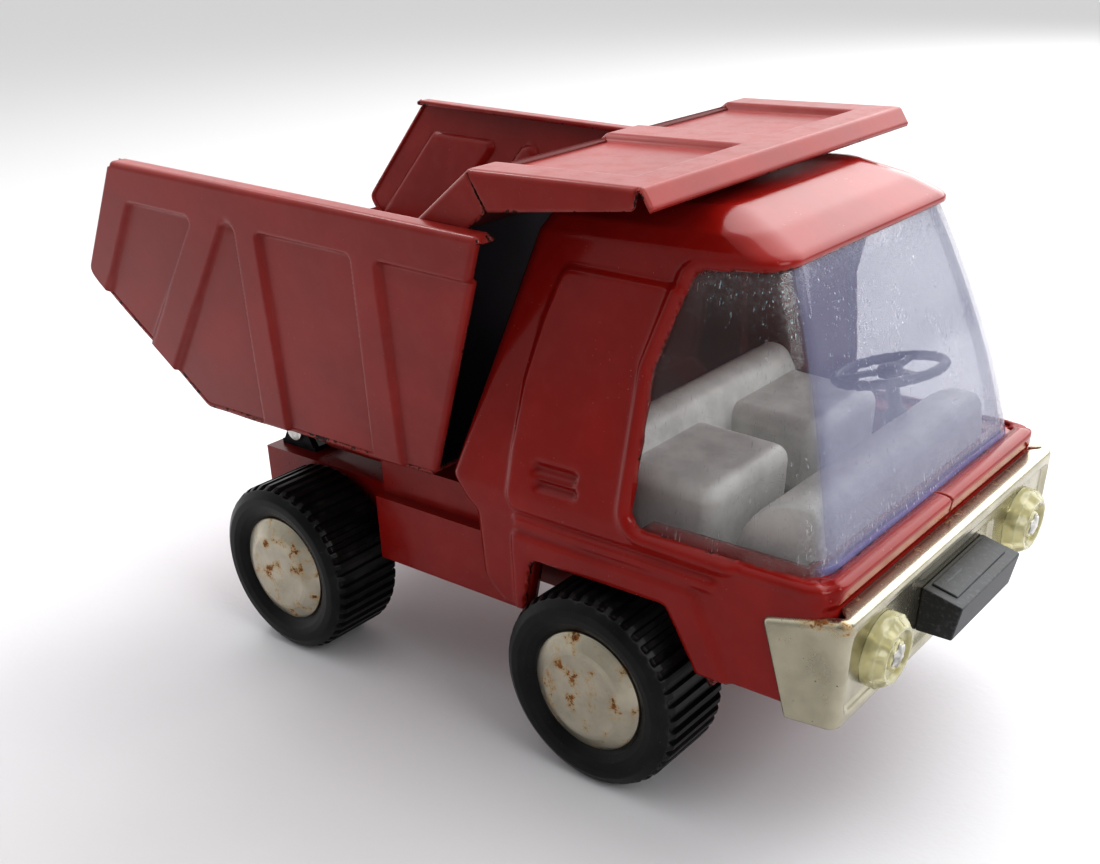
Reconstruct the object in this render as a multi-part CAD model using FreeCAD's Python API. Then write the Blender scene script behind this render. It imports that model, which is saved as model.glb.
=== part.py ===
"""Pressed-steel toy dump truck: +X forward, +Y to its left, +Z up, millimetres.

Pieces are laid out from a point on the ground midway between the axles, and every finished
solid is then moved so that the origin is centred under the whole truck.
"""

import FreeCAD, Part
import math
import os

V = FreeCAD.Vector

# Overall sizes
WHEELBASE = 66.3
TYRE_R = 15.0
BELT_HALF_WIDTH = 32.8

# Sheet steel and general clearances
SHEET = 0.8
SLACK = 0.4
RUNNING_CLEARANCE = 0.08

# Running gear
FRONT_X = WHEELBASE / 2
REAR_X = -WHEELBASE / 2
TYRE_TOP = 2 * TYRE_R
TYRE_WIDTH = 14.1
TYRE_OUTER_Y = BELT_HALF_WIDTH + 4.3
TREAD_RIBS = 44
TREAD_GROOVE = 0.7
TREAD_LAND = 1.1
SIDEWALL_BEVEL = 1.0
TYRE_SHELL = 2.6
TYRE_WEB = 2.4
CAP_R = TYRE_R - 5.7
CAP_SEAT_DEPTH = 1.5
CAP_SHEET = 0.6
CAP_DOME = 1.0
CAP_FLAT_R = CAP_R - 2.7
AXLE_R = 1.5
HUB_R = AXLE_R + 1.9
AXLE_END_COVER = 0.6

# Chassis
CHASSIS_TAIL_X = REAR_X - 18.85
CHASSIS_HALF_WIDTH = TYRE_OUTER_Y - TYRE_WIDTH - 1.0
DECK_TOP_Z = TYRE_TOP - 1.0
RAIL_BOTTOM_Z = DECK_TOP_Z - 8.5
AXLE_LUG_HALF = AXLE_R + 3.5
AXLE_LUG_DROP = AXLE_R + 2.1
SKIRT_REAR_X = REAR_X + TYRE_R + 1.65
SKIRT_FRONT_X = FRONT_X - TYRE_R - 1.15
SKIRT_HALF_WIDTH = CHASSIS_HALF_WIDTH + 6.0
SKIRT_BOTTOM_Z = DECK_TOP_Z - 10.3
SKIRT_STEP_Z = DECK_TOP_Z + 1.0
SKIRT_STEP = 2.0
SKIRT_TOP_Z = DECK_TOP_Z + 7.0
CROSSBAR_REAR_X = FRONT_X - 20.65
CROSSBAR_REAR_LENGTH = 3.0
CROSSBAR_FRONT_X = FRONT_X + TYRE_R + 5.85
CROSSBAR_FRONT_LENGTH = 6.0
CROSSBAR_TAB = 2.0

# Bed hinge
PIN_R = 1.2
EAR_R = PIN_R + 1.2
PIN_X = REAR_X - 12.85
PIN_Z = DECK_TOP_Z + SHEET + SLACK + EAR_R
PIN_HEAD_R = PIN_R + 0.7
PIN_HEAD = 0.8
BRACKET_EAR_Y = CHASSIS_HALF_WIDTH - 2.6
BRACKET_SHEET = 1.2
BRACKET_LENGTH = 2 * EAR_R + 4.2
CHANNEL_EAR_Y = BRACKET_EAR_Y - BRACKET_SHEET - 0.3
CHANNEL_FRONT_X = FRONT_X - 35.15
SKIRT_INNER_Y = CHANNEL_EAR_Y + 0.7

# Bed: the rear end keeps its place on the rear axle, the front end on the cab
RIM_HALF_WIDTH = BELT_HALF_WIDTH + 5.5
FLOOR_Z = DECK_TOP_Z + 10.2
RIM_REAR = (REAR_X - 29.85, FLOOR_Z + 43.9)
RIM_FRONT = (FRONT_X - 13.55, FLOOR_Z + 40.2)
TAIL_CORNER = (REAR_X - 46.45, FLOOR_Z + 22.8)
TAIL_LOW = (REAR_X - 45.15, FLOOR_Z + 20.8)
RAMP_FOOT_X = REAR_X - 21.45
RAMP_REACH = 0.97
SIDE_FOOT_FRONT_X = FRONT_X - 31.75
FLOOR_FRONT_GAP = 0.6
FLARE = math.radians(7.8)
SIDE_SHEET = 1.5
RIM_FLANGE = 3.0
BAND_DROP = 7.1
PANEL_DEPTH = 0.8
PANEL_TAIL = (TAIL_CORNER[0] + 4.7, TAIL_CORNER[1] - 3.5)
# Recessed panels between the ribs: rear and front edge under the rim band, then at the floor
PANEL_EDGES = (
    (REAR_X - 26.85, REAR_X - 10.25, REAR_X - 42.35, REAR_X - 42.35),
    (REAR_X - 2.45, REAR_X + 0.25, REAR_X - 32.85, REAR_X - 5.25),
    (REAR_X + 5.85, FRONT_X - 40.05, REAR_X + 0.15, FRONT_X - 45.35),
    (FRONT_X - 34.35, FRONT_X - 13.0, FRONT_X - 39.55, FRONT_X - 28.0),
)
BULKHEAD_FOOT_X = FRONT_X - 44.15
RIVET_R = 0.8
RIVET_HEAD_R = 1.7
RIVET_TAIL = 0.6
RIVET_XS = (PIN_X + 10.0, BULKHEAD_FOOT_X - 4.0)
RIVET_Y = 11.0

# Cab shell, as (height, rear x, front x, half-width, rear corner, front corner)
CAB_FRONT_X = FRONT_X + TYRE_R + 21.35
CAB_BOTTOM_Z = TYRE_TOP - 7.5
BELT_Z = TYRE_TOP + 8.0
SILL_Z = BELT_Z + 3.0
VISOR_Z = SILL_Z + 36.0
ROOF_Z = VISOR_Z + 5.6
CAB_SECTIONS = (
    (CAB_BOTTOM_Z, SKIRT_FRONT_X - 2.4, CAB_FRONT_X, BELT_HALF_WIDTH, 2.0, 2.5),
    (CAB_BOTTOM_Z + 3.3, SKIRT_FRONT_X - 6.2, CAB_FRONT_X, BELT_HALF_WIDTH, 2.0, 2.5),
    (BELT_Z - 1.5, SKIRT_FRONT_X - 6.8, CAB_FRONT_X, BELT_HALF_WIDTH, 2.0, 2.5),
    (BELT_Z, SKIRT_FRONT_X - 8.8, CAB_FRONT_X, BELT_HALF_WIDTH, 2.0, 2.5),
    (SILL_Z, SKIRT_FRONT_X - 11.5, CAB_FRONT_X - 2.0, BELT_HALF_WIDTH - 0.3, 2.0, 4.5),
    (VISOR_Z, FRONT_X - 15.45, CAB_FRONT_X - 11.6, BELT_HALF_WIDTH - 8.0, 2.0, 4.0),
    (VISOR_Z + 3.2, FRONT_X - 13.75, CAB_FRONT_X - 16.9, BELT_HALF_WIDTH - 9.2, 2.0, 4.0),
    (ROOF_Z, FRONT_X - 10.15, CAB_FRONT_X - 23.5, BELT_HALF_WIDTH - 13.3, 2.0, 3.0),
)
WINDOW_REAR_LOW = (FRONT_X + 5.95, SILL_Z + 1.2)
WINDOW_REAR_TOP = (FRONT_X + 11.85, VISOR_Z - 1.4)
GLAZING = 1.0
GLAZING_TUCK = 1.5
ARCH_FOOT_REAR_X = FRONT_X - TYRE_R + 1.05
ARCH_TOP_REAR = (ARCH_FOOT_REAR_X + 2.4, TYRE_TOP + 1.3)
ARCH_TOP_FRONT = (FRONT_X + TYRE_R - 3.15, TYRE_TOP + 1.5)
ARCH_FOOT_FRONT_X = FRONT_X + TYRE_R + 3.45
CHASSIS_NOSE_X = CAB_FRONT_X - 3.5

# Bulkhead, riser and canopy over the cab
CANOPY_HALF_WIDTH = BELT_HALF_WIDTH + 1.8
CANOPY_REAR_X = FRONT_X - 17.65
CANOPY_FRONT_X = FRONT_X + 10.55
CANOPY_Z = ROOF_Z + 5.0
CANOPY_SHEET = 1.5
CANOPY_LIP = (1.6, 2.7)
CANOPY_FLANGE_REAR = (CANOPY_REAR_X + 3.1, CANOPY_Z - 5.4)
CANOPY_FLANGE_FRONT_Z = CANOPY_Z - 2.8
RECESS_FRONT_X = CANOPY_FRONT_X - 5.7
RECESS_INNER_Y = 4.5
RECESS_OUTER_Y = CANOPY_HALF_WIDTH - 6.6
RECESS_DEPTH = 0.7
BULKHEAD_FOLD = (FRONT_X - 35.15, CANOPY_Z - 13.1)
RISER_FLANGE_FOOT = (FRONT_X - 28.15, CANOPY_Z - 16.6)

# Cab interior
TUB_FLOOR_Z = TYRE_TOP + 1.6
TUB_REAR_X = SKIRT_FRONT_X
TUB_FRONT_X = CAB_FRONT_X - 5.5
TUB_HALF_WIDTH = BELT_HALF_WIDTH - 6.8
TUB_SHEET = 1.0
PLINTH_X = (FRONT_X - 13.15, CROSSBAR_FRONT_X - 2.0)
SEAT_X = (FRONT_X - 0.15, FRONT_X + 13.85)
SEAT_TOP_Z = SILL_Z + 5.0
BACKREST_THICKNESS = 6.0
BACKREST_TOP_Z = SILL_Z + 19.0
SEAT_HALF_WIDTH = TUB_HALF_WIDTH - 2.0
DASH_REAR_X = TUB_FRONT_X - 9.0
DASH_TOP_Z = SILL_Z + 5.0
DASH_SLOPE = 3.0
WHEEL_CENTRE = (CAB_FRONT_X - 17.2, BELT_HALF_WIDTH / 2, SILL_Z + 10.3)
WHEEL_RING_R = 8.2
WHEEL_RIM_R = 0.75
WHEEL_HUB_R = 2.0
WHEEL_SPOKES = 3
WHEEL_SPOKE = 1.2
COLUMN_R = 1.1
COLUMN_LENGTH = 9.5
COLUMN_TILT = 12.0

# Front bumper, headlamps and centre block
BUMPER_SHEET = 0.8
BUMPER_FACE_SHEET = 1.4
BUMPER_TOP_Z = BELT_Z - 0.7
BUMPER_BOTTOM_Z = BUMPER_TOP_Z - 15.8
BUMPER_TOP_X = CAB_FRONT_X + 2.9
BUMPER_BOTTOM_X = CAB_FRONT_X + 1.4
BUMPER_SIDE_REAR_TOP = (CAB_FRONT_X - 9.5, BUMPER_TOP_Z - 2.7)
BUMPER_SIDE_REAR_LOW = (CAB_FRONT_X - 6.0, BUMPER_BOTTOM_Z - 0.5)
BUMPER_BORDER = 1.9
BUMPER_RECESS = 0.6
LAMP_Y = BELT_HALF_WIDTH - 10.0
LAMP_Z = BUMPER_TOP_Z - 8.5
LAMP_R = 5.2
LAMP_DEPTH = 3.0
LAMP_FACE_R = LAMP_R - 0.9
LAMP_BEVEL = 0.9
LAMP_RIVET_R = 0.9
LAMP_RIVET_HEAD_R = 1.5
LAMP_RIVET_HEAD = 0.5
LAMP_RIVET_BACK = 0.4
BLOCK_HALF_WIDTH = 9.9
BLOCK_TOP_Z = BUMPER_TOP_Z - 5.7
BLOCK_DEPTH = 5.4
BLOCK_DROP = 1.5
BLOCK_BOTTOM_Z = BUMPER_TOP_Z - 12.5
BLOCK_UNDERCUT = 1.3

FAR = 200.0


# Plain shapes

def box(x0, x1, y0, y1, z0, z1):
    return Part.makeBox(x1 - x0, y1 - y0, z1 - z0, V(x0, y0, z0))


def prism_y(points, y0, y1):
    """A polygon of (x, z) points, extruded from y0 to y1."""
    corners = [V(x, y0, z) for x, z in points]
    return Part.Face(Part.makePolygon(corners + corners[:1])).extrude(V(0, y1 - y0, 0))


def prism_x(points, x0, x1):
    """A polygon of (y, z) points, extruded from x0 to x1."""
    corners = [V(x0, y, z) for y, z in points]
    return Part.Face(Part.makePolygon(corners + corners[:1])).extrude(V(x1 - x0, 0, 0))


def cylinder_y(radius, x, z, y0, y1):
    return Part.makeCylinder(radius, y1 - y0, V(x, y0, z), V(0, 1, 0))


def lathe_y(profile, x, z):
    """A closed (radius, y) profile turned round the Y line through (x, z)."""
    corners = [V(x + radius, y, z) for radius, y in profile]
    face = Part.Face(Part.makePolygon(corners + corners[:1]))
    return face.revolve(V(x, 0, z), V(0, 1, 0), 360)


def other_side(shape):
    return shape.mirror(V(0, 0, 0), V(0, 1, 0))


def offset_path(path, distance):
    """The path moved to its left by the distance, mitred at each fold."""
    normals = []
    for (x0, z0), (x1, z1) in zip(path, path[1:]):
        length = math.hypot(x1 - x0, z1 - z0)
        normals.append((-(z1 - z0) / length, (x1 - x0) / length))
    moved = []
    for index, (x, z) in enumerate(path):
        before = normals[max(index - 1, 0)]
        after = normals[min(index, len(normals) - 1)]
        scale = distance / (1 + before[0] * after[0] + before[1] * after[1])
        moved.append((x + (before[0] + after[0]) * scale, z + (before[1] + after[1]) * scale))
    return moved


def folded(path, thickness):
    """The closed outline of a folded sheet that lies to the left of its path."""
    return path + offset_path(path, thickness)[::-1]


def between(start, end, share):
    return tuple(a + (b - a) * share for a, b in zip(start, end))


# Wheels and axles

def tyre(x):
    """The left tyre: ribbed tread, a seat for the cap outboard and a hollow inboard."""
    inner_y = TYRE_OUTER_Y - TYRE_WIDTH
    web_y = TYRE_OUTER_Y - CAP_SEAT_DEPTH
    profile = [
        (AXLE_R, inner_y), (HUB_R, inner_y), (HUB_R, web_y - TYRE_WEB),
        (TYRE_R - TYRE_SHELL, web_y - TYRE_WEB), (TYRE_R - TYRE_SHELL, inner_y),
        (TYRE_R - SIDEWALL_BEVEL, inner_y), (TYRE_R, inner_y + SIDEWALL_BEVEL),
        (TYRE_R, TYRE_OUTER_Y - SIDEWALL_BEVEL), (TYRE_R - SIDEWALL_BEVEL, TYRE_OUTER_Y),
        (CAP_R, TYRE_OUTER_Y), (CAP_R, web_y), (AXLE_R, web_y),
    ]
    solid = lathe_y(profile, x, TYRE_R)
    pitch = 2 * math.pi * TYRE_R / TREAD_RIBS
    groove = pitch - TREAD_LAND
    slots = []
    for number in range(TREAD_RIBS):
        slot = box(x - groove / 2, x + groove / 2, inner_y - 1, TYRE_OUTER_Y - SIDEWALL_BEVEL * 2,
                   2 * TYRE_R - TREAD_GROOVE, 2 * TYRE_R + 1)
        slot.rotate(V(x, 0, TYRE_R), V(0, 1, 0), 360.0 * (number + 0.5) / TREAD_RIBS)
        slots.append(slot)
    return solid.cut(Part.makeCompound(slots))


def wheel_cap(x):
    """The left cap: a shallow dome with a flat middle, seated in the tyre."""
    seat_y = TYRE_OUTER_Y - CAP_SEAT_DEPTH
    crown_y = seat_y + CAP_SHEET + CAP_DOME
    profile = [
        (0, crown_y - CAP_SHEET), (CAP_FLAT_R, crown_y - CAP_SHEET), (CAP_R - CAP_SHEET, seat_y),
        (CAP_R, seat_y), (CAP_R, seat_y + CAP_SHEET), (CAP_FLAT_R, crown_y), (0, crown_y),
    ]
    return lathe_y(profile, x, TYRE_R)


def axle(x):
    end_y = TYRE_OUTER_Y - CAP_SEAT_DEPTH + AXLE_END_COVER
    return cylinder_y(AXLE_R, x, TYRE_R, -end_y, end_y)


# Chassis

def chassis_frame():
    """An inverted channel with two lugs a side that carry the axles."""
    axles = (REAR_X, FRONT_X)
    lug_bottom = TYRE_R - AXLE_LUG_DROP
    outline = [(CHASSIS_TAIL_X, DECK_TOP_Z), (CHASSIS_TAIL_X, RAIL_BOTTOM_Z)]
    for x in axles:
        outline += [
            (x - AXLE_LUG_HALF * 1.5, RAIL_BOTTOM_Z), (x - AXLE_LUG_HALF, lug_bottom),
            (x + AXLE_LUG_HALF, lug_bottom), (x + AXLE_LUG_HALF * 1.5, RAIL_BOTTOM_Z),
        ]
    outline += [(CHASSIS_NOSE_X, RAIL_BOTTOM_Z), (CHASSIS_NOSE_X, DECK_TOP_Z)]
    solid = prism_y(outline, -CHASSIS_HALF_WIDTH, CHASSIS_HALF_WIDTH)
    inner = CHASSIS_HALF_WIDTH - SHEET
    solid = solid.cut(box(-FAR, FAR, -inner, inner, -FAR, DECK_TOP_Z - SHEET))
    for x in axles:
        solid = solid.cut(cylinder_y(AXLE_R + RUNNING_CLEARANCE, x, TYRE_R, -FAR, FAR))
    return solid


def side_skirt():
    """The left stepped panel between the wheels, with a shelf onto the deck."""
    upper_y = SKIRT_HALF_WIDTH - SKIRT_STEP
    path = [
        (SKIRT_HALF_WIDTH, SKIRT_BOTTOM_Z), (SKIRT_HALF_WIDTH, SKIRT_STEP_Z),
        (upper_y, SKIRT_STEP_Z), (upper_y, SKIRT_TOP_Z), (CHASSIS_HALF_WIDTH, SKIRT_TOP_Z),
    ]
    panel = prism_x(folded(path, SHEET), SKIRT_REAR_X, SKIRT_FRONT_X)
    shelf_outer = SKIRT_HALF_WIDTH - SHEET / 2
    shelf = box(SKIRT_REAR_X, SKIRT_FRONT_X, SKIRT_INNER_Y, shelf_outer, DECK_TOP_Z, SKIRT_STEP_Z)
    return panel.fuse(shelf).removeSplitter()


def crossbar(rear_x, length, under_z, half_width):
    """A strip across the chassis, its ends turned up against the cab sides."""
    strip = box(rear_x, rear_x + length, -half_width, half_width, under_z, under_z + SHEET)
    tab = box(rear_x, rear_x + length, half_width - SHEET, half_width, under_z, under_z + CROSSBAR_TAB)
    return strip.fuse([tab, other_side(tab)]).removeSplitter()


def hinge_bracket():
    """The U bracket on the chassis tail whose ears hold the hinge pin."""
    base = box(PIN_X - BRACKET_LENGTH / 2, PIN_X + BRACKET_LENGTH / 2, -BRACKET_EAR_Y, BRACKET_EAR_Y,
               DECK_TOP_Z, DECK_TOP_Z + SHEET)
    foot = BRACKET_LENGTH / 2
    ear = prism_y([(PIN_X - foot, DECK_TOP_Z), (PIN_X + foot, DECK_TOP_Z), (PIN_X + EAR_R, PIN_Z),
                   (PIN_X - EAR_R, PIN_Z)], BRACKET_EAR_Y - BRACKET_SHEET, BRACKET_EAR_Y)
    ear = ear.fuse(cylinder_y(EAR_R, PIN_X, PIN_Z, BRACKET_EAR_Y - BRACKET_SHEET, BRACKET_EAR_Y))
    solid = base.fuse([ear, other_side(ear)])
    solid = solid.cut(cylinder_y(PIN_R, PIN_X, PIN_Z, -FAR, FAR))
    return solid.removeSplitter()


def hinge_pin():
    head = cylinder_y(PIN_HEAD_R, PIN_X, PIN_Z, BRACKET_EAR_Y, BRACKET_EAR_Y + PIN_HEAD)
    shank = cylinder_y(PIN_R, PIN_X, PIN_Z, -BRACKET_EAR_Y - PIN_HEAD, BRACKET_EAR_Y)
    return shank.fuse([head, other_side(head)]).removeSplitter()


# Bed

def rim_z(x):
    share = (x - RIM_REAR[0]) / (RIM_FRONT[0] - RIM_REAR[0])
    return RIM_REAR[1] + (RIM_FRONT[1] - RIM_REAR[1]) * share


def inner_half_width(z):
    """Half the bed's clear width at a height, between the flared sides."""
    return RIM_HALF_WIDTH - (RIM_REAR[1] - z) * math.tan(FLARE) - SIDE_SHEET / math.cos(FLARE)


def bed_space():
    """Everything between the two sides, for trimming what fits between them."""
    low = FLOOR_Z - 20
    high = RIM_REAR[1] + 20
    points = [(-inner_half_width(low), low), (inner_half_width(low), low),
              (inner_half_width(high), high), (-inner_half_width(high), high)]
    return prism_x(points, -FAR, FAR)


def bed_side():
    """The left side: an embossed sheet with an inward rim, leaning out by the flare."""
    def flat(points):
        return [(x, (z - RIM_REAR[1]) / math.cos(FLARE)) for x, z in points]

    sheet = flat([TAIL_CORNER, TAIL_LOW, (RAMP_FOOT_X, FLOOR_Z), (SIDE_FOOT_FRONT_X, FLOOR_Z),
                  RIM_FRONT, RIM_REAR])
    solid = prism_y(sheet, -SIDE_SHEET, 0)
    rim = flat([RIM_REAR, RIM_FRONT, (RIM_FRONT[0], RIM_FRONT[1] - SHEET),
                (RIM_REAR[0], RIM_REAR[1] - SHEET)])
    solid = solid.fuse(prism_y(rim, -RIM_FLANGE, 0))
    for number, (top_rear, top_front, foot_rear, foot_front) in enumerate(PANEL_EDGES):
        panel = [(top_rear, rim_z(top_rear) - BAND_DROP), (top_front, rim_z(top_front) - BAND_DROP),
                 (foot_front, FLOOR_Z), (foot_rear, FLOOR_Z)]
        if number == 0:
            panel[-1] = PANEL_TAIL
        solid = solid.cut(prism_y(flat(panel), -PANEL_DEPTH, 1))
    solid.rotate(V(0, 0, 0), V(1, 0, 0), -math.degrees(FLARE))
    solid.translate(V(0, RIM_HALF_WIDTH, RIM_REAR[1]))
    return solid.removeSplitter()


def rivet_places():
    return [(x, side * RIVET_Y) for x in RIVET_XS for side in (-1, 1)]


def bed_floor():
    """The floor sheet, from the bulkhead's foot back and up the tail ramp."""
    tail = between((RAMP_FOOT_X, FLOOR_Z), TAIL_LOW, RAMP_REACH)
    path = [tail, (RAMP_FOOT_X, FLOOR_Z), (BULKHEAD_FOOT_X, FLOOR_Z)]
    sheet = prism_y(folded(path, SHEET), -FAR, FAR).common(bed_space())
    return sheet.cut([bed_rivet(x, y) for x, y in rivet_places()])


def bed_front_panel():
    """Apron, bulkhead, riser and canopy from one sheet, with turned-down side flanges."""
    canopy_rear = (CANOPY_REAR_X, CANOPY_Z)
    apron = (SIDE_FOOT_FRONT_X - FLOOR_FRONT_GAP, FLOOR_Z)
    path = [apron, (BULKHEAD_FOOT_X, FLOOR_Z), BULKHEAD_FOLD, canopy_rear]
    wall = prism_y(folded(path, -SHEET), -FAR, FAR)
    below_fold = box(-FAR, FAR, -FAR, FAR, -FAR, BULKHEAD_FOLD[1] + SHEET)
    lower = wall.common(bed_space()).common(below_fold)
    width = CANOPY_HALF_WIDTH
    upper = wall.common(box(-FAR, FAR, -width, width, BULKHEAD_FOLD[1], FAR))
    top = box(CANOPY_REAR_X, CANOPY_FRONT_X, -width, width, CANOPY_Z - CANOPY_SHEET, CANOPY_Z)
    for low, high in ((RECESS_INNER_Y, RECESS_OUTER_Y), (-RECESS_OUTER_Y, -RECESS_INNER_Y)):
        bottom = CANOPY_Z - RECESS_DEPTH
        top = top.cut(box(CANOPY_REAR_X - 1, RECESS_FRONT_X, low, high, bottom, CANOPY_Z + 1))
    front = (CANOPY_FRONT_X, CANOPY_Z)
    lip_end = (CANOPY_FRONT_X + CANOPY_LIP[0], CANOPY_Z - CANOPY_LIP[1])
    lip = prism_y(folded([(front[0] - SHEET, front[1]), front, lip_end], -SHEET), -width, width)
    flange = prism_y([canopy_rear, CANOPY_FLANGE_REAR, (CANOPY_FRONT_X, CANOPY_FLANGE_FRONT_Z), front],
                     width - SHEET, width)
    riser = prism_y([canopy_rear, BULKHEAD_FOLD, RISER_FLANGE_FOOT, CANOPY_FLANGE_REAR],
                    width - SHEET, width)
    pieces = [upper, top, lip, flange, riser, other_side(flange), other_side(riser)]
    return lower.fuse(pieces).removeSplitter()


def bed_hinge_channel():
    """The channel under the floor: it rests on the deck and its ears turn on the hinge pin."""
    outer = CHANNEL_EAR_Y
    foot_z = DECK_TOP_Z + SHEET + SLACK
    web_x = PIN_X - EAR_R
    outline = [(web_x, FLOOR_Z), (web_x, PIN_Z), (PIN_X, PIN_Z), (PIN_X + EAR_R, PIN_Z - EAR_R / 2),
               (PIN_X + 3 * EAR_R, foot_z), (CHANNEL_FRONT_X, foot_z), (CHANNEL_FRONT_X, FLOOR_Z)]
    solid = prism_y(outline, -outer, outer)
    solid = solid.fuse(cylinder_y(EAR_R, PIN_X, PIN_Z, -outer, outer))
    inner = outer - SHEET
    solid = solid.cut(box(-FAR, FAR, -inner, inner, -FAR, FLOOR_Z - SHEET))
    solid = solid.cut(cylinder_y(PIN_R + RUNNING_CLEARANCE, PIN_X, PIN_Z, -FAR, FAR))
    solid = solid.cut([bed_rivet(x, y) for x, y in rivet_places()])
    return solid.removeSplitter()


def bed_rivet(x, y):
    """A rivet through floor and channel: its head is countersunk flush, its tail spread below."""
    low = FLOOR_Z - SHEET
    shank = Part.makeCylinder(RIVET_R, SHEET, V(x, y, low))
    head = Part.makeCone(RIVET_R, RIVET_HEAD_R, SHEET, V(x, y, FLOOR_Z))
    tail = Part.makeCone(RIVET_HEAD_R, RIVET_R, RIVET_TAIL, V(x, y, low - RIVET_TAIL))
    return shank.fuse([head, tail]).removeSplitter()


# Cab

def cab_section(height, rear, front, half_width, rear_corner, front_corner, inset):
    """A level outline of the cab with rounded corners, drawn in by the inset."""
    corners = (
        (rear + inset, -half_width + inset, rear_corner - inset, 180),
        (front - inset, -half_width + inset, front_corner - inset, 270),
        (front - inset, half_width - inset, front_corner - inset, 0),
        (rear + inset, half_width - inset, rear_corner - inset, 90),
    )
    edges = []
    last = None
    first = None
    for x, y, radius, start in corners:
        centre_x = x + (radius if start in (180, 90) else -radius)
        centre = V(centre_x, y - math.copysign(radius, y), height)
        ends = []
        for angle in (start, start + 45, start + 90):
            turn = math.radians(angle)
            ends.append(centre + V(radius * math.cos(turn), radius * math.sin(turn), 0))
        if last:
            edges.append(Part.LineSegment(last, ends[0]).toShape())
        edges.append(Part.Arc(*ends).toShape())
        first = first or ends[0]
        last = ends[2]
    edges.append(Part.LineSegment(last, first).toShape())
    return Part.Wire(edges)


def cab_form(sections, inset):
    return Part.makeLoft([cab_section(*row, inset) for row in sections], True, True)


def cab_cavity():
    """The space inside the cab shell, open below."""
    lowest = (CAB_BOTTOM_Z - 1,) + CAB_SECTIONS[0][1:]
    roof = (CAB_SECTIONS[-1][0] - SHEET,) + CAB_SECTIONS[-1][1:]
    return cab_form((lowest,) + CAB_SECTIONS[:-1] + (roof,), SHEET)


def window_opening():
    """One opening from each side window's rear edge right round the front."""
    points = [WINDOW_REAR_LOW, WINDOW_REAR_TOP, (FAR, VISOR_Z), (FAR, SILL_Z), (CAB_FRONT_X, SILL_Z)]
    return prism_y(points, -FAR, FAR)


def wheel_arch():
    points = [(ARCH_FOOT_REAR_X, CAB_BOTTOM_Z - 2), ARCH_TOP_REAR, ARCH_TOP_FRONT,
              (ARCH_FOOT_FRONT_X, CAB_BOTTOM_Z - 2)]
    return prism_y(points, -FAR, FAR)


def chassis_notch():
    """The way through the cab's back wall for the chassis and its side skirts."""
    half = SKIRT_HALF_WIDTH + SLACK
    return box(-FAR, SKIRT_FRONT_X + SLACK, -half, half, -FAR, SKIRT_TOP_Z + SLACK)


def cab_shell():
    solid = cab_form(CAB_SECTIONS, 0).cut(cab_cavity())
    return solid.cut(window_opening()).cut(wheel_arch()).cut(chassis_notch())


def windshield():
    """One clear moulding behind the opening: both side windows and the front."""
    belt, sill, visor = CAB_SECTIONS[3:6]
    low = between(sill, belt, GLAZING_TUCK / (SILL_Z - BELT_Z))
    outer = cab_form((low, sill, visor), SHEET)
    low_inner = (low[0] - 1,) + low[1:]
    visor_inner = (visor[0] + 1,) + visor[1:]
    hollow = cab_form((low_inner, sill, visor_inner), SHEET + GLAZING)
    below = between(WINDOW_REAR_TOP, WINDOW_REAR_LOW, 1.3)
    above = between(WINDOW_REAR_LOW, WINDOW_REAR_TOP, 1.3)
    rear = prism_y([below, above, (-FAR, above[1]), (-FAR, below[1])], -FAR, FAR)
    rear.translate(V(-GLAZING_TUCK, 0, 0))
    return outer.cut(hollow).cut(rear)


def cab_interior():
    """The moulded tub: floor on a plinth, bench seat, backrest and dashboard."""
    tub = box(TUB_REAR_X, TUB_FRONT_X, -TUB_HALF_WIDTH, TUB_HALF_WIDTH, TUB_FLOOR_Z, TUB_FLOOR_Z + TUB_SHEET)
    plinth_half = CHASSIS_HALF_WIDTH - 2 * SHEET
    plinth = box(*PLINTH_X, -plinth_half, plinth_half, DECK_TOP_Z, TUB_FLOOR_Z)
    seat = [(SEAT_X[0] - BACKREST_THICKNESS, TUB_FLOOR_Z), (SEAT_X[1], TUB_FLOOR_Z), (SEAT_X[1], SEAT_TOP_Z),
            (SEAT_X[0], SEAT_TOP_Z - 1), (SEAT_X[0] - 2, BACKREST_TOP_Z),
            (SEAT_X[0] - BACKREST_THICKNESS, BACKREST_TOP_Z)]
    bench = prism_y(seat, -SEAT_HALF_WIDTH, SEAT_HALF_WIDTH)
    dash = prism_y([(DASH_REAR_X, TUB_FLOOR_Z), (TUB_FRONT_X, TUB_FLOOR_Z),
                    (TUB_FRONT_X, DASH_TOP_Z - DASH_SLOPE), (DASH_REAR_X, DASH_TOP_Z)],
                   -TUB_HALF_WIDTH, TUB_HALF_WIDTH)
    solid = tub.fuse([plinth, bench, dash]).removeSplitter()
    return solid.cut(column_rod(COLUMN_R))


def column_rod(radius):
    """The steering column's line, from inside the dashboard up to the wheel's hub."""
    rod = Part.makeCylinder(radius, COLUMN_LENGTH, V(0, 0, -COLUMN_LENGTH))
    rod.rotate(V(0, 0, 0), V(0, 1, 0), -COLUMN_TILT)
    rod.translate(V(*WHEEL_CENTRE))
    return rod


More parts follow.
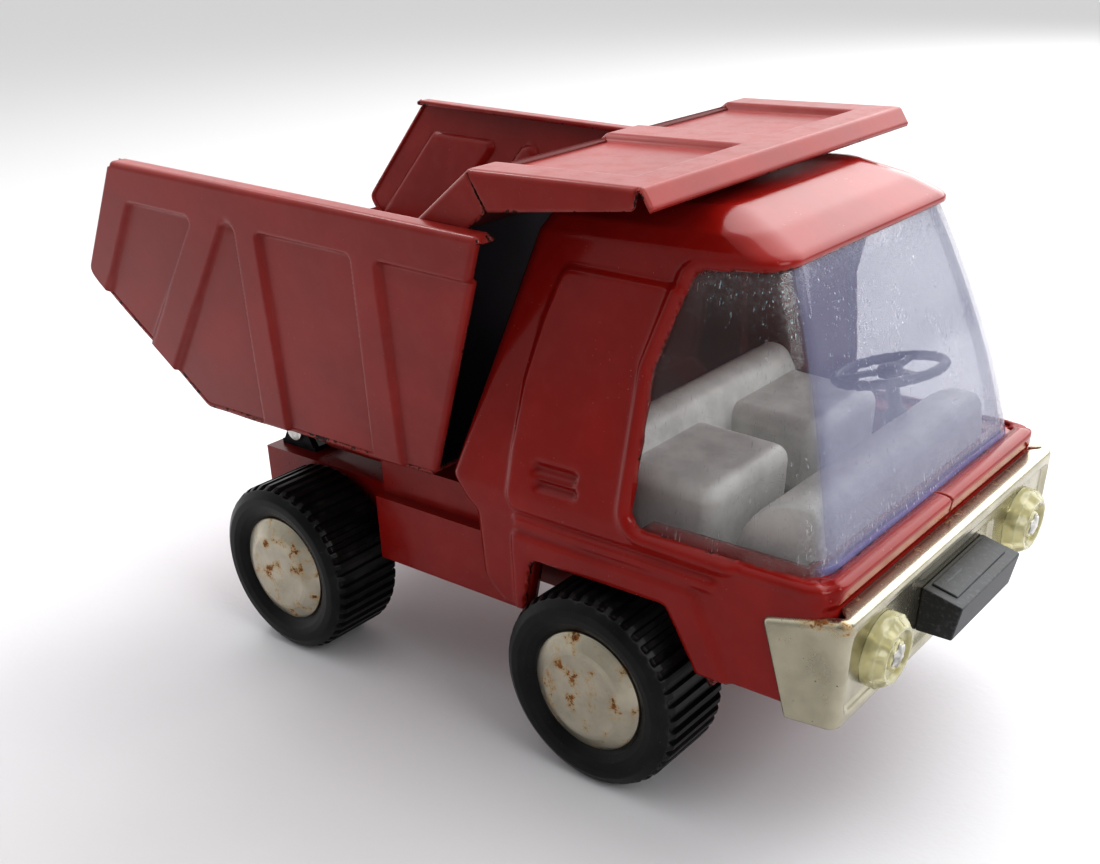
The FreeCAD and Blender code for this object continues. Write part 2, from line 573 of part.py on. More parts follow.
def steering_wheel():
    """A ring, a hub and three spokes, square to the column."""
    ring = Part.makeTorus(WHEEL_RING_R, WHEEL_RIM_R)
    hub = Part.makeCylinder(WHEEL_HUB_R, 2 * WHEEL_RIM_R, V(0, 0, -WHEEL_RIM_R))
    spokes = []
    for number in range(WHEEL_SPOKES):
        half = WHEEL_SPOKE / 2
        spoke = Part.makeBox(WHEEL_RING_R, WHEEL_SPOKE, WHEEL_SPOKE / 2, V(0, -half, -half / 2))
        spoke.rotate(V(0, 0, 0), V(0, 0, 1), 90 + 360 * number / WHEEL_SPOKES)
        spokes.append(spoke)
    solid = hub.fuse([ring] + spokes).removeSplitter()
    solid.rotate(V(0, 0, 0), V(0, 1, 0), -COLUMN_TILT)
    solid.translate(V(*WHEEL_CENTRE))
    return solid.cut(column_rod(COLUMN_R))


# Bumper and lamps

def bumper_x(z):
    share = (z - BUMPER_BOTTOM_Z) / (BUMPER_TOP_Z - BUMPER_BOTTOM_Z)
    return BUMPER_BOTTOM_X + (BUMPER_TOP_X - BUMPER_BOTTOM_X) * share


def recess_x(z):
    """Where the recessed middle of the bumper's face lies at a height."""
    return bumper_x(z) - BUMPER_RECESS / lamp_axis().x


def lamp_axis():
    return V(BUMPER_TOP_Z - BUMPER_BOTTOM_Z, 0, BUMPER_BOTTOM_X - BUMPER_TOP_X).normalize()


def lamp_disc(radius, back, front, tip_radius):
    """A disc or cone square to the bumper face at the left lamp, measured from the face."""
    base = V(bumper_x(LAMP_Z), LAMP_Y, LAMP_Z) + lamp_axis() * back
    if abs(radius - tip_radius) < 1e-6:
        return Part.makeCylinder(radius, front - back, base, lamp_axis())
    return Part.makeCone(radius, tip_radius, front - back, base, lamp_axis())


def front_bumper():
    """A wrapped bumper: tilted face with a raised border, top ledge and tapered sides."""
    half = BELT_HALF_WIDTH + BUMPER_SHEET
    top = (BUMPER_TOP_X, BUMPER_TOP_Z)
    low = (BUMPER_BOTTOM_X, BUMPER_BOTTOM_Z)
    face = prism_y(folded([low, top], BUMPER_FACE_SHEET), -half, half)
    border = BUMPER_BORDER
    pocket_low, pocket_top = BUMPER_BOTTOM_Z + border, BUMPER_TOP_Z - border
    pocket = prism_y([(recess_x(pocket_low), pocket_low), (recess_x(pocket_top), pocket_top),
                      (FAR, pocket_top), (FAR, pocket_low)], -half + border, half - border)
    ledge = box(CAB_FRONT_X, BUMPER_TOP_X - BUMPER_SHEET, -half, half,
                BUMPER_TOP_Z - BUMPER_SHEET, BUMPER_TOP_Z)
    side = prism_y([low, top, BUMPER_SIDE_REAR_TOP, BUMPER_SIDE_REAR_LOW],
                   half - BUMPER_SHEET, half)
    solid = face.cut(pocket).fuse([ledge, side, other_side(side)])
    rivet_hole = lamp_disc(LAMP_RIVET_R, -2 * BUMPER_FACE_SHEET, BUMPER_FACE_SHEET, LAMP_RIVET_R)
    return solid.cut([rivet_hole, other_side(rivet_hole)]).removeSplitter()


def headlamp():
    """The left clear lens: a bevelled disc with a hole for its rivet."""
    back = -BUMPER_RECESS
    shoulder = back + LAMP_DEPTH - LAMP_BEVEL
    body = lamp_disc(LAMP_R, back, shoulder, LAMP_R)
    bevel = lamp_disc(LAMP_R, shoulder, back + LAMP_DEPTH, LAMP_FACE_R)
    bore = lamp_disc(LAMP_RIVET_R, back - 1, back + LAMP_DEPTH + 1, LAMP_RIVET_R)
    return body.fuse(bevel).removeSplitter().cut(bore)


def headlamp_rivet():
    front = LAMP_DEPTH - BUMPER_RECESS
    shank = lamp_disc(LAMP_RIVET_R, -BUMPER_FACE_SHEET - LAMP_RIVET_BACK, front, LAMP_RIVET_R)
    head = lamp_disc(LAMP_RIVET_HEAD_R, front, front + LAMP_RIVET_HEAD, LAMP_RIVET_R)
    return shank.fuse(head).removeSplitter()


def bumper_block():
    """The dark centre block on the bumper's face."""
    nose = recess_x(BLOCK_TOP_Z) + BLOCK_DEPTH
    points = [(recess_x(BLOCK_BOTTOM_Z), BLOCK_BOTTOM_Z), (recess_x(BLOCK_TOP_Z), BLOCK_TOP_Z),
              (nose, BLOCK_TOP_Z - BLOCK_DROP), (nose - BLOCK_UNDERCUT, BLOCK_BOTTOM_Z)]
    return prism_y(points, -BLOCK_HALF_WIDTH, BLOCK_HALF_WIDTH)


# Assembly

def build():
    cab_inner = BELT_HALF_WIDTH - SHEET
    parts = {
        "chassis_frame": chassis_frame(),
        "side_skirt_left": side_skirt(),
        "side_skirt_right": other_side(side_skirt()),
        "cab_crossbar_rear": crossbar(CROSSBAR_REAR_X, CROSSBAR_REAR_LENGTH, SKIRT_TOP_Z, cab_inner),
        "cab_crossbar_front": crossbar(CROSSBAR_FRONT_X, CROSSBAR_FRONT_LENGTH, DECK_TOP_Z, cab_inner),
        "hinge_bracket": hinge_bracket(),
        "hinge_pin": hinge_pin(),
        "bed_floor": bed_floor(),
        "bed_side_left": bed_side(),
        "bed_side_right": other_side(bed_side()),
        "bed_front_panel": bed_front_panel(),
        "bed_hinge_channel": bed_hinge_channel(),
        "cab_shell": cab_shell(),
        "windshield": windshield(),
        "cab_interior": cab_interior(),
        "steering_column": column_rod(COLUMN_R),
        "steering_wheel": steering_wheel(),
        "front_bumper": front_bumper(),
        "bumper_block": bumper_block(),
        "headlamp_left": headlamp(),
        "headlamp_right": other_side(headlamp()),
        "headlamp_rivet_left": headlamp_rivet(),
        "headlamp_rivet_right": other_side(headlamp_rivet()),
    }
    for number, (x, y) in enumerate(rivet_places(), 1):
        parts[f"bed_rivet_{number}"] = bed_rivet(x, y)
    for end, x in (("front", FRONT_X), ("rear", REAR_X)):
        parts[f"axle_{end}"] = axle(x)
        parts[f"tyre_{end}_left"] = tyre(x)
        parts[f"tyre_{end}_right"] = other_side(parts[f"tyre_{end}_left"])
        parts[f"wheel_cap_{end}_left"] = wheel_cap(x)
        parts[f"wheel_cap_{end}_right"] = other_side(parts[f"wheel_cap_{end}_left"])
    return parts


def main():
    parts = build()
    bounds = Part.makeCompound(list(parts.values())).BoundBox
    centre = V(-(bounds.XMin + bounds.XMax) / 2, 0, -bounds.ZMin)
    size = f"{bounds.XLength:.2f} x {bounds.YLength:.2f} x {bounds.ZLength:.2f} mm"
    print(f"overall {size}, moved by {centre}")
    os.makedirs("parts", exist_ok=True)
    for name, shape in parts.items():
        if len(shape.Solids) != 1 or not shape.isValid():
            raise SystemExit(f"{name}: {len(shape.Solids)} solids, valid {shape.isValid()}")
        solid = shape.Solids[0]
        solid.translate(centre)
        solid.exportStep(f"parts/{name}.step")
        print(f"{name}: {solid.Volume / 1000:.3f} cm3")


main()
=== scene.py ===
"""Finished surfaces of a pressed-steel toy dump truck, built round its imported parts.

Shapes are worked out in millimetres from the point on the ground midway between the axles:
+X forward, +Y to the truck's left, +Z up. User sizes are lengths in metres.
"""

import math

import bmesh
import bpy
import numpy as np
from mathutils import Matrix, Vector
from mathutils.kdtree import KDTree


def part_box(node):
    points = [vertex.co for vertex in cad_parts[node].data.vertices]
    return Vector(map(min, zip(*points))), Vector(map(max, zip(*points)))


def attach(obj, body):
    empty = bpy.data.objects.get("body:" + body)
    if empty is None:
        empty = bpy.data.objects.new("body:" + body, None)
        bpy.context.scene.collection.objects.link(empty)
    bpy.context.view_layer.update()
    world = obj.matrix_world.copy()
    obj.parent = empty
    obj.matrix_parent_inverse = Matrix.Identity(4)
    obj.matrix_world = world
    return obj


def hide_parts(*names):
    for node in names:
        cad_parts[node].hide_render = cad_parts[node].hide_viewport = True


bl_info = {
    "name": "Toy dump truck",
    "version": (1, 0, 0),
    "blender": (4, 5, 0),
    "location": "3D View > Sidebar > Dump truck",
    "description": "Builds the finished surfaces of a pressed-steel toy dump truck",
    "category": "Object",
}

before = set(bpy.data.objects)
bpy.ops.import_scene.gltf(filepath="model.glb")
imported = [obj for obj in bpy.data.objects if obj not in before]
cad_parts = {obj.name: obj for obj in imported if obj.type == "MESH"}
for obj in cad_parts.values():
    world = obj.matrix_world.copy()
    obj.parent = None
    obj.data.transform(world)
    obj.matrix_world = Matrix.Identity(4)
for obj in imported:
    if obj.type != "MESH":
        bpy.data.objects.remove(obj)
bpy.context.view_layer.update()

MM = 0.001
SIDES = (("right", -1), ("left", 1))
ENDS = ("front", "rear")


def middle(node):
    low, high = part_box(node)
    return (low + high) / 2


AXLE_X = {end: middle(f"axle_{end}").x for end in ENDS}
ORIGIN = np.array([(AXLE_X["front"] + AXLE_X["rear"]) / 2, 0, 0]) / MM
HALF_BASE = (AXLE_X["front"] - AXLE_X["rear"]) / 2 / MM
TYRE_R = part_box("tyre_front_left")[1].z / MM / 2
TYRE_OUTER_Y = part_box("tyre_front_left")[1].y / MM
TYRE_INNER_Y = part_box("tyre_front_left")[0].y / MM
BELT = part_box("cab_shell")[1].y / MM


# Shaping in the flat

def smooth(share):
    share = np.clip(share, 0, 1)
    return share * share * (3 - 2 * share)


def pulled_in(points, distance):
    """A closed outline with every side moved inwards."""
    points = np.asarray(points, float)
    after = np.roll(points, -1, 0)
    area = (points[:, 0] * after[:, 1] - after[:, 0] * points[:, 1]).sum()
    along = after - points
    along /= np.linalg.norm(along, axis=1, keepdims=True)
    normal = np.stack([-along[:, 1], along[:, 0]], 1) * np.sign(area)
    before = np.roll(normal, 1, 0)
    scale = distance / (1 + (before * normal).sum(1))
    return points + (before + normal) * scale[:, None]


def depth_in(points, a, b, corner=0.0):
    """How far each (a, b) lies inside an outline with rounded corners; outside is negative."""
    points = pulled_in(points, corner)
    after = np.roll(points, -1, 0)
    nearest = np.full(np.shape(a), np.inf)
    within = np.zeros(np.shape(a), bool)
    for (x0, z0), (x1, z1) in zip(points, after):
        dx, dz = x1 - x0, z1 - z0
        share = np.clip(((a - x0) * dx + (b - z0) * dz) / (dx * dx + dz * dz), 0, 1)
        nearest = np.minimum(nearest, np.hypot(a - x0 - share * dx, b - z0 - share * dz))
        if z0 != z1:
            crossing = (b > min(z0, z1)) & (b <= max(z0, z1))
            within ^= crossing & (a < x0 + (b - z0) * dx / dz)
    return np.where(within, nearest, -nearest) + corner


def pressed(depth, width):
    """0 outside a pressed area and 1 inside it, with a slope of the given width."""
    return smooth(depth / width + 0.5)


def turned_in(distance, radius):
    """How far a sheet drops as it turns over its edge."""
    reach = radius - np.clip(distance, 0, radius)
    return radius - np.sqrt(np.maximum(radius ** 2 - reach ** 2, 0))


def spaced(length, pitch, edge=0.0, fine=0.12):
    """Distances from 0 to length, closer together within the edge zone at both ends."""
    if edge <= 0:
        return np.linspace(0, length, max(2, int(round(length / pitch)) + 1))
    close = np.arange(0, edge, fine)
    inner = np.linspace(edge, length - edge, max(2, int((length - 2 * edge) / pitch) + 1))
    return np.concatenate([close, inner, length - close[::-1]])


def rounded_path(points, radius, pitch=0.4, turn_steps=6):
    """A path with its folds rounded, its points no further apart than about the pitch."""
    points = [np.array(p, float) for p in points]
    out = [points[0]]
    for before, corner, after in zip(points, points[1:], points[2:]):
        back, ahead = before - corner, after - corner
        back_length, ahead_length = np.linalg.norm(back), np.linalg.norm(ahead)
        back, ahead = back / back_length, ahead / ahead_length
        angle = math.acos(np.clip(back @ ahead, -1, 1))
        cut = min(radius / math.tan(angle / 2), back_length * 0.45, ahead_length * 0.45)
        start, end = corner + back * cut, corner + ahead * cut
        for share in np.linspace(0, 1, turn_steps):
            out.append((1 - share) ** 2 * start + 2 * share * (1 - share) * corner + share ** 2 * end)
    out.append(points[-1])
    dense = [out[0]]
    for a, b in zip(out, out[1:]):
        count = max(1, int(np.linalg.norm(b - a) / pitch))
        dense += [a + (b - a) * k / count for k in range(1, count + 1)]
    return np.array(dense)


# Meshes

def grid_faces(rows, columns, wrap=False):
    index = np.arange(rows * columns).reshape(rows, columns)
    if wrap:
        index = np.hstack([index, index[:, :1]])
    return np.stack([index[:-1, :-1], index[:-1, 1:], index[1:, 1:], index[1:, :-1]], -1).reshape(-1, 4)


def slopes(points, wrap):
    """Unit normals of a grid of points: columns run anticlockwise seen from outside, rows upwards."""
    if wrap:
        across = np.roll(points, -1, 1) - np.roll(points, 1, 1)
    else:
        across = np.gradient(points, axis=1)
    normal = np.cross(across, np.gradient(points, axis=0))
    length = np.linalg.norm(normal, axis=2, keepdims=True)
    return normal / np.maximum(length, 1e-9)


def trimmed(points, faces, keep):
    """Cuts the faces along the line where keep is 0 and drops the negative side."""
    positive = keep > 0
    count = positive[faces].sum(1)
    kept = [list(face) for face in faces[count == faces.shape[1]]]
    added = []
    cuts = {}
    for face in faces[(count > 0) & (count < faces.shape[1])]:
        ring = []
        for a, b in zip(face, np.roll(face, -1)):
            if positive[a]:
                ring.append(a)
            if positive[a] != positive[b]:
                key = (min(a, b), max(a, b))
                if key not in cuts:
                    share = keep[a] / (keep[a] - keep[b])
                    cuts[key] = len(points) + len(added)
                    added.append(points[a] + (points[b] - points[a]) * share)
                ring.append(cuts[key])
        if len(ring) > 2:
            kept.append(ring)
    if added:
        points = np.vstack([points, added])
    used = np.zeros(len(points), bool)
    for ring in kept:
        used[ring] = True
    order = np.cumsum(used) - 1
    return points[used], [[int(order[v]) for v in ring] for ring in kept]


def joined(parts):
    """Several (points, faces) as one."""
    points, faces, start = [], [], 0
    for some_points, some_faces in parts:
        points.append(np.asarray(some_points, float))
        faces += [[int(v) + start for v in face] for face in some_faces]
        start += len(some_points)
    return np.vstack(points), faces


def mirrored(part):
    points, faces = part
    return np.asarray(points) * [1, -1, 1], [list(face)[::-1] for face in faces]


def lathe(profile, columns=64, relief=None):
    """A (radius, y) profile turned round Y: outward is away from the axis when y rises."""
    profile = np.asarray(profile, float)
    turn = np.linspace(0, 2 * math.pi, columns, endpoint=False)
    radius = np.repeat(profile[:, :1], columns, 1)
    height = np.repeat(profile[:, 1:], columns, 1)
    if relief is not None:
        radius = radius + relief(radius, height, turn[None, :])
    points = np.stack([radius * np.sin(turn), height, radius * np.cos(turn)], -1)
    return points.reshape(-1, 3), grid_faces(len(profile), columns, True)


def prism(outline, low, high, axis):
    """An outline in the two other axes, taken from low to high along the axis."""
    outline = np.asarray(outline, float)
    ends = [np.insert(outline, axis, at, 1) for at in (low, high)]
    count = len(outline)
    sides = [[k, (k + 1) % count, (k + 1) % count + count, k + count] for k in range(count)]
    return np.vstack(ends), [list(range(count))[::-1], list(range(count, 2 * count))] + sides


def mesh_of(name, points, faces):
    mesh = bpy.data.meshes.new(name)
    mesh.from_pydata(((np.asarray(points) + ORIGIN) * MM).tolist(), [], [list(f) for f in faces])
    work = bmesh.new()
    work.from_mesh(mesh)
    bmesh.ops.remove_doubles(work, verts=work.verts, dist=2e-6)
    bmesh.ops.dissolve_degenerate(work, edges=work.edges, dist=1e-6)
    work.to_mesh(mesh)
    work.free()
    mesh.update()
    return mesh


def mark_edges_and_creases(mesh, reach=1.0):
    """Writes how near each vertex is to a sheet's edge or fold, and how deep in a crease; the crease depth
    drives painted shade in several finishes.
    """
    count = len(mesh.vertices)
    place = np.empty(count * 3)
    mesh.vertices.foreach_get("co", place)
    place = place.reshape(-1, 3) / MM
    normal = np.array([n.vector[:] for n in mesh.vertex_normals])
    ends = np.empty(len(mesh.edges) * 2, int)
    mesh.edges.foreach_get("vertices", ends)
    ends = ends.reshape(-1, 2)
    step = place[ends[:, 1]] - place[ends[:, 0]]
    bend = ((normal[ends[:, 1]] - normal[ends[:, 0]]) * step).sum(1) / np.maximum((step ** 2).sum(1), 1e-3)
    total, hits = np.zeros(count), np.zeros(count)
    for column in (0, 1):
        np.add.at(total, ends[:, column], bend)
        np.add.at(hits, ends[:, column], 1)
    curve = total / np.maximum(hits, 1)
    for _ in range(2):
        total, hits = curve.copy(), np.ones(count)
        for a, b in ((0, 1), (1, 0)):
            np.add.at(total, ends[:, a], curve[ends[:, b]])
            np.add.at(hits, ends[:, a], 1)
        curve = total / hits
    edge = np.clip(curve * 0.9, 0, 1)
    uses = {}
    for polygon in mesh.polygons:
        for key in polygon.edge_keys:
            uses[key] = uses.get(key, 0) + 1
    rim = sorted({v for key, times in uses.items() if times == 1 for v in key})
    if rim:
        tree = KDTree(len(rim))
        for number, vertex in enumerate(rim):
            tree.insert(place[vertex], number)
        tree.balance()
        for vertex in range(count):
            distance = tree.find(place[vertex])[2]
            if distance < reach:
                edge[vertex] = max(edge[vertex], 1 - distance / reach)
    for name, values in (("edge", edge), ("groove", np.clip(-curve * 0.9, 0, 1))):
        attribute = mesh.attributes.new(name, "FLOAT", "POINT")
        attribute.data.foreach_set("value", values.astype(np.float32))


def piece(name, part, body, slot, finish, stands_for=(), sheet=0.0, bevel=0.0, segments=3, sharp=None):
    """A finished piece on its body, in the place of the CAD nodes that it stands for."""
    mesh = mesh_of(name, *part)
    mark_edges_and_creases(mesh)
    made = bpy.data.objects.new(name, mesh)
    bpy.context.scene.collection.objects.link(made)
    mesh.materials.append(finish)
    mesh.shade_smooth()
    if sharp:
        mesh.set_sharp_from_angle(angle=math.radians(sharp))
    if bevel:
        rounding = made.modifiers.new("rounding", "BEVEL")
        rounding.width = bevel * MM
        rounding.segments = segments
        rounding.harden_normals = True
        rounding.limit_method = "ANGLE"
        rounding.angle_limit = math.radians(24)
    if sheet:
        thick = made.modifiers.new("sheet", "SOLIDIFY")
        thick.thickness = sheet * MM
        thick.offset = -1
        thick.use_rim = True
    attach(made, body)
    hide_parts(*stands_for)
    return made


def finish_node(node, finish, bevel=0.25):
    """Gives a CAD node that stays its finish and eases its edges."""
    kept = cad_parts[node]
    kept.data.materials.clear()
    kept.data.materials.append(finish)
    rounding = kept.modifiers.new("eased", "BEVEL")
    rounding.width = bevel * MM
    rounding.segments = 2
    rounding.limit_method = "ANGLE"
    rounding.angle_limit = math.radians(30)
    rounding.harden_normals = True
    kept.data.shade_smooth()


# Materials

class Wire:
    """A node's output. Sums on it add Math nodes, or Vector Math nodes for vectors and colours."""

    def __init__(self, finish, socket):
        self.finish = finish
        self.socket = socket

    def sum(self, operation, first, second):
        used = [v for v in (first, second) if isinstance(v, Wire)]
        if any(v.socket.type != "VALUE" for v in used):
            first, second = ((v,) * 3 if isinstance(v, (int, float)) else v for v in (first, second))
            return self.finish.node("ShaderNodeVectorMath", {"operation": operation}, {0: first, 1: second})
        return self.finish.node("ShaderNodeMath", {"operation": operation}, {0: first, 1: second})

    def __add__(self, other):
        return self.sum("ADD", self, other)

    def __radd__(self, other):
        return self.sum("ADD", other, self)

    def __sub__(self, other):
        return self.sum("SUBTRACT", self, other)

    def __rsub__(self, other):
        return self.sum("SUBTRACT", other, self)

    def __mul__(self, other):
        return self.sum("MULTIPLY", self, other)

    def __rmul__(self, other):
        return self.sum("MULTIPLY", other, self)

    def greater(self, other):
        return self.sum("MAXIMUM", self, other)

    def lesser(self, other):
        return self.sum("MINIMUM", self, other)

    def rise(self, low, high):
        """0 below low, 1 above high and smooth between them; a low above high falls instead."""
        turned = low > high
        inputs = {"Value": self, "From Min": min(low, high), "From Max": max(low, high)}
        inputs.update({"To Min": 1.0, "To Max": 0.0} if turned else {"To Min": 0.0, "To Max": 1.0})
        return self.finish.node("ShaderNodeMapRange", {"interpolation_type": "SMOOTHSTEP"}, inputs)

    def part(self, axis):
        return self.finish.node("ShaderNodeSeparateXYZ", None, {0: self}, axis)


class Finish:
    """A node tree for one finish, with one method that adds any node."""

    def __init__(self, name, tree=None):
        self.material = None
        if tree is None:
            self.material = bpy.data.materials.new(name)
            self.material.use_nodes = True
            tree = self.material.node_tree
        tree.nodes.clear()
        self.tree = tree
        self.place = None

    def node(self, kind, settings=None, inputs=None, output=0):
        made = self.tree.nodes.new(kind)
        for key, value in (settings or {}).items():
            setattr(made, key, value)
        for key, value in (inputs or {}).items():
            if isinstance(value, Wire):
                self.tree.links.new(value.socket, made.inputs[key])
            else:
                made.inputs[key].default_value = value
        return Wire(self, made.outputs[output]) if len(made.outputs) else None

    def coordinates(self):
        """Places on the piece, in millimetres."""
        if self.place is None:
            self.place = self.node("ShaderNodeTexCoord", None, None, "Object") * (1 / MM)
        return self.place

    def noise(self, size, detail=3.0, stretch=(1, 1, 1), shift=0.0, roughness=0.55):
        """Cloudy variation whose lumps are about the given size in millimetres."""
        place = self.coordinates() * tuple(float(s) for s in stretch) + (shift, shift, shift)
        return self.node("ShaderNodeTexNoise", None,
                         {"Vector": place, "Scale": 1 / size, "Detail": detail, "Roughness": roughness})

    def mark(self, name):
        """One of the values that the mesh holds at each vertex."""
        return self.node("ShaderNodeAttribute", {"attribute_name": name}, None, "Fac")

    def mix(self, mask, under, over):
        """The under colour, turning to the over colour as the mask rises to 1."""
        return self.node("ShaderNodeMix", {"data_type": "RGBA"}, {0: mask, 6: under, 7: over}, 2)

    def bump(self, height, depth, strength):
        """Relief from a height, its depth in millimetres."""
        return self.node("ShaderNodeBump", None,
                         {"Height": height, "Distance": depth * MM, "Strength": strength})

    def coat_of(self, **sockets):
        """The main shader, its sockets named with underscores for spaces."""
        return self.node("ShaderNodeBsdfPrincipled", None,
                         {name.replace("_", " "): value for name, value in sockets.items()})

    def done(self, shader):
        self.node("ShaderNodeOutputMaterial", None, {"Surface": shader})
        return self.material


def opaque(colour):
    return tuple(colour) + (1.0,)


def shade(colour, factor):
    return tuple(min(1.0, c * factor) for c in colour) + (1.0,)


MADE = {}


def finish_for(name):
    """The named finish, made the first time that it is asked for."""
    if name not in MADE:
        MADE[name] = FINISHES[name](name, bpy.context.scene.truck_colours)
    return MADE[name]


def enamel(name, colours, haze, clouding, shine, faded=0.0):
    """Baked enamel over steel: cloudy, scuffed, and chipped to dark metal along its edges, with painted shade
    in its creases.
    """
    f = Finish(name)
    red = tuple(a + (b - a) * faded for a, b in zip(colours.enamel, colours.bloom))
    cloud = f.noise(16, 4)
    fine = f.noise(0.55, 4, shift=7)
    patches = f.noise(5, 3, shift=31)
    edge, groove = f.mark("edge"), f.mark("groove")
    base = f.mix(cloud.rise(0.3, 0.75), shade(red, 0.86), shade(red, 1.08))
    bloom = f.noise(3.0, 6, shift=3).rise(0.42, 0.75) * (0.10 * clouding)
    base = f.mix(bloom, base, opaque(colours.bloom))
    rubbed = (edge.rise(0.35, 0.95) * patches.rise(0.35, 0.65)) * 0.22
    base = f.mix(rubbed, base, opaque(colours.bloom))
    # Painted shade: the red darkens in creases and hollows.
    base = f.mix(groove.rise(0.15, 0.8) * 0.62, base, shade(red, 0.22))
    specks = f.noise(0.42, 1, shift=50).rise(0.735, 0.76) * patches.rise(0.48, 0.66)
    streak = f.noise(0.5, 2, (0.09, 0.35, 1.6), 12).rise(0.7, 0.74) * patches.rise(0.5, 0.62) * 0.5
    chips = (edge * 0.36 + fine * 0.75 + patches * 0.5).rise(1.02, 1.06)
    nicks = f.noise(0.9, 3, shift=90).rise(0.752, 0.77) * f.noise(11, 2, shift=61).rise(0.5, 0.62)
    bare = chips.greater(nicks)
    base = f.mix(streak, base, shade(red, 0.4))
    base = f.mix(specks * 0.5, base, opaque(colours.bloom))
    base = f.mix(bare, base, opaque(colours.chip))
    rough = haze + fine * 0.10 + cloud * 0.08 + bloom * 1.2 + bare * 0.35 + specks * 0.2
    height = f.noise(2.2, 2, shift=5) * 0.5 + fine * 0.10 - bare * 0.7 - streak * 0.3
    return f.done(f.coat_of(Base_Color=base, Roughness=rough, Metallic=bare * 0.35,
                            Normal=f.bump(height, 0.05, 0.4), Specular_IOR_Level=shine,
                            Coat_Weight=0.05, Coat_Roughness=0.06))


def tyre_black(name, colours):
    """Satin black moulding, dusty in its grooves and rubbed along its ribs."""
    f = Finish(name)
    fine = f.noise(0.35, 4)
    patches = f.noise(4, 3, shift=17)
    edge, groove = f.mark("edge"), f.mark("groove")
    base = f.mix(patches.rise(0.35, 0.7), opaque(colours.tyre), shade(colours.tyre, 1.8))
    dust = (groove.rise(0.1, 0.7) * patches.rise(0.42, 0.68) * 0.22
            + f.noise(0.5, 3, shift=9).rise(0.66, 0.74) * 0.16)
    base = f.mix(dust, base, (0.16, 0.145, 0.12, 1))
    base = f.mix(edge.rise(0.3, 0.9) * patches.rise(0.45, 0.7) * 0.35, base, (0.07, 0.07, 0.072, 1))
    rough = 0.26 + patches * 0.14 + fine * 0.10 + dust * 0.8
    return f.done(f.coat_of(Base_Color=base, Roughness=rough, Specular_IOR_Level=0.2,
                            Normal=f.bump(fine, 0.03, 0.5)))


def plated(name, colours, tone, shine, rust_low):
    """Nickel plate gone dull, with rust that comes through in spots and along joints, and painted shade in
    its creases.
    """
    f = Finish(name)
    cloud = f.noise(5, 5, shift=3)
    fine = f.noise(0.4, 5, shift=40, roughness=0.7)
    blot = f.noise(2.6, 6, shift=77, roughness=0.68)
    edge, groove = f.mark("edge"), f.mark("groove")
    base = f.mix(cloud.rise(0.3, 0.75), opaque(tone), shade(tone, 0.74))
    # Painted shade: the plate darkens in creases.
    base = f.mix(groove.rise(0.1, 0.7) * 0.55, base, shade(tone, 0.3))
    rust_here = blot + f.mark("rust") * 0.21 + groove * 0.04 + fine * 0.06
    rust = rust_here.rise(rust_low, rust_low + 0.05)
    stain = rust_here.rise(rust_low - 0.09, rust_low + 0.02)
    pits = f.noise(0.5, 2, shift=25).rise(0.72, 0.75) * cloud.rise(0.4, 0.6)
    base = f.mix(stain * 0.55, base, (0.50, 0.33, 0.14, 1))
    rust_tone = f.mix(fine.rise(0.35, 0.65), opaque(colours.rust), shade(colours.rust, 0.35))
    base = f.mix(rust, base, rust_tone)
    base = f.mix(pits * 0.7, base, (0.08, 0.06, 0.045, 1))
    metal = 1 - rust.greater(pits * 0.8)
    rough = shine + cloud * 0.16 + stain * 0.2 + rust * 0.35 + fine * 0.08 - edge * 0.05
    height = fine * 0.25 + rust * 0.8 - pits
    return f.done(f.coat_of(Base_Color=base, Roughness=rough, Metallic=metal * 0.96,
                            Normal=f.bump(height, 0.04, 0.6)))


def steel(name, tone, rough):
    """Drawn or blackened steel with grime in patches."""
    f = Finish(name)
    fine = f.noise(0.3, 3, (1, 0.15, 1))
    grime = f.noise(2, 4, shift=8).rise(0.45, 0.7)
    base = f.mix(grime * 0.6, opaque(tone), shade(tone, 0.35))
    return f.done(f.coat_of(Base_Color=base, Roughness=rough + fine * 0.2 + grime * 0.2,
                            Metallic=1.0, Normal=f.bump(fine, 0.02, 0.5)))


def plastic(name, tone, rough, dust_tone, dust_amount):
    """Moulded plastic with a faint grain, rubbed edges and dust."""
    f = Finish(name)
    fine = f.noise(0.3, 3)
    cloud = f.noise(6, 4, shift=14)
    edge = f.mark("edge")
    base = f.mix(cloud.rise(0.3, 0.7), opaque(tone), shade(tone, 0.8))
    dust = (cloud.rise(0.4, 0.7) * 0.5 + f.noise(0.6, 4, shift=2).rise(0.5, 0.7) * 0.5) * dust_amount
    scratch = f.noise(0.35, 2, (0.3, 0.06, 1.5), 21).rise(0.70, 0.75) * dust_amount
    base = f.mix(dust + scratch * 0.6 + edge.rise(0.3, 1.0) * 0.3 * dust_amount, base, opaque(dust_tone))
    height = fine * 0.4 - scratch
    return f.done(f.coat_of(Base_Color=base, Roughness=rough + cloud * 0.1 + dust * 0.3,
                            Normal=f.bump(height, 0.04, 0.5)))


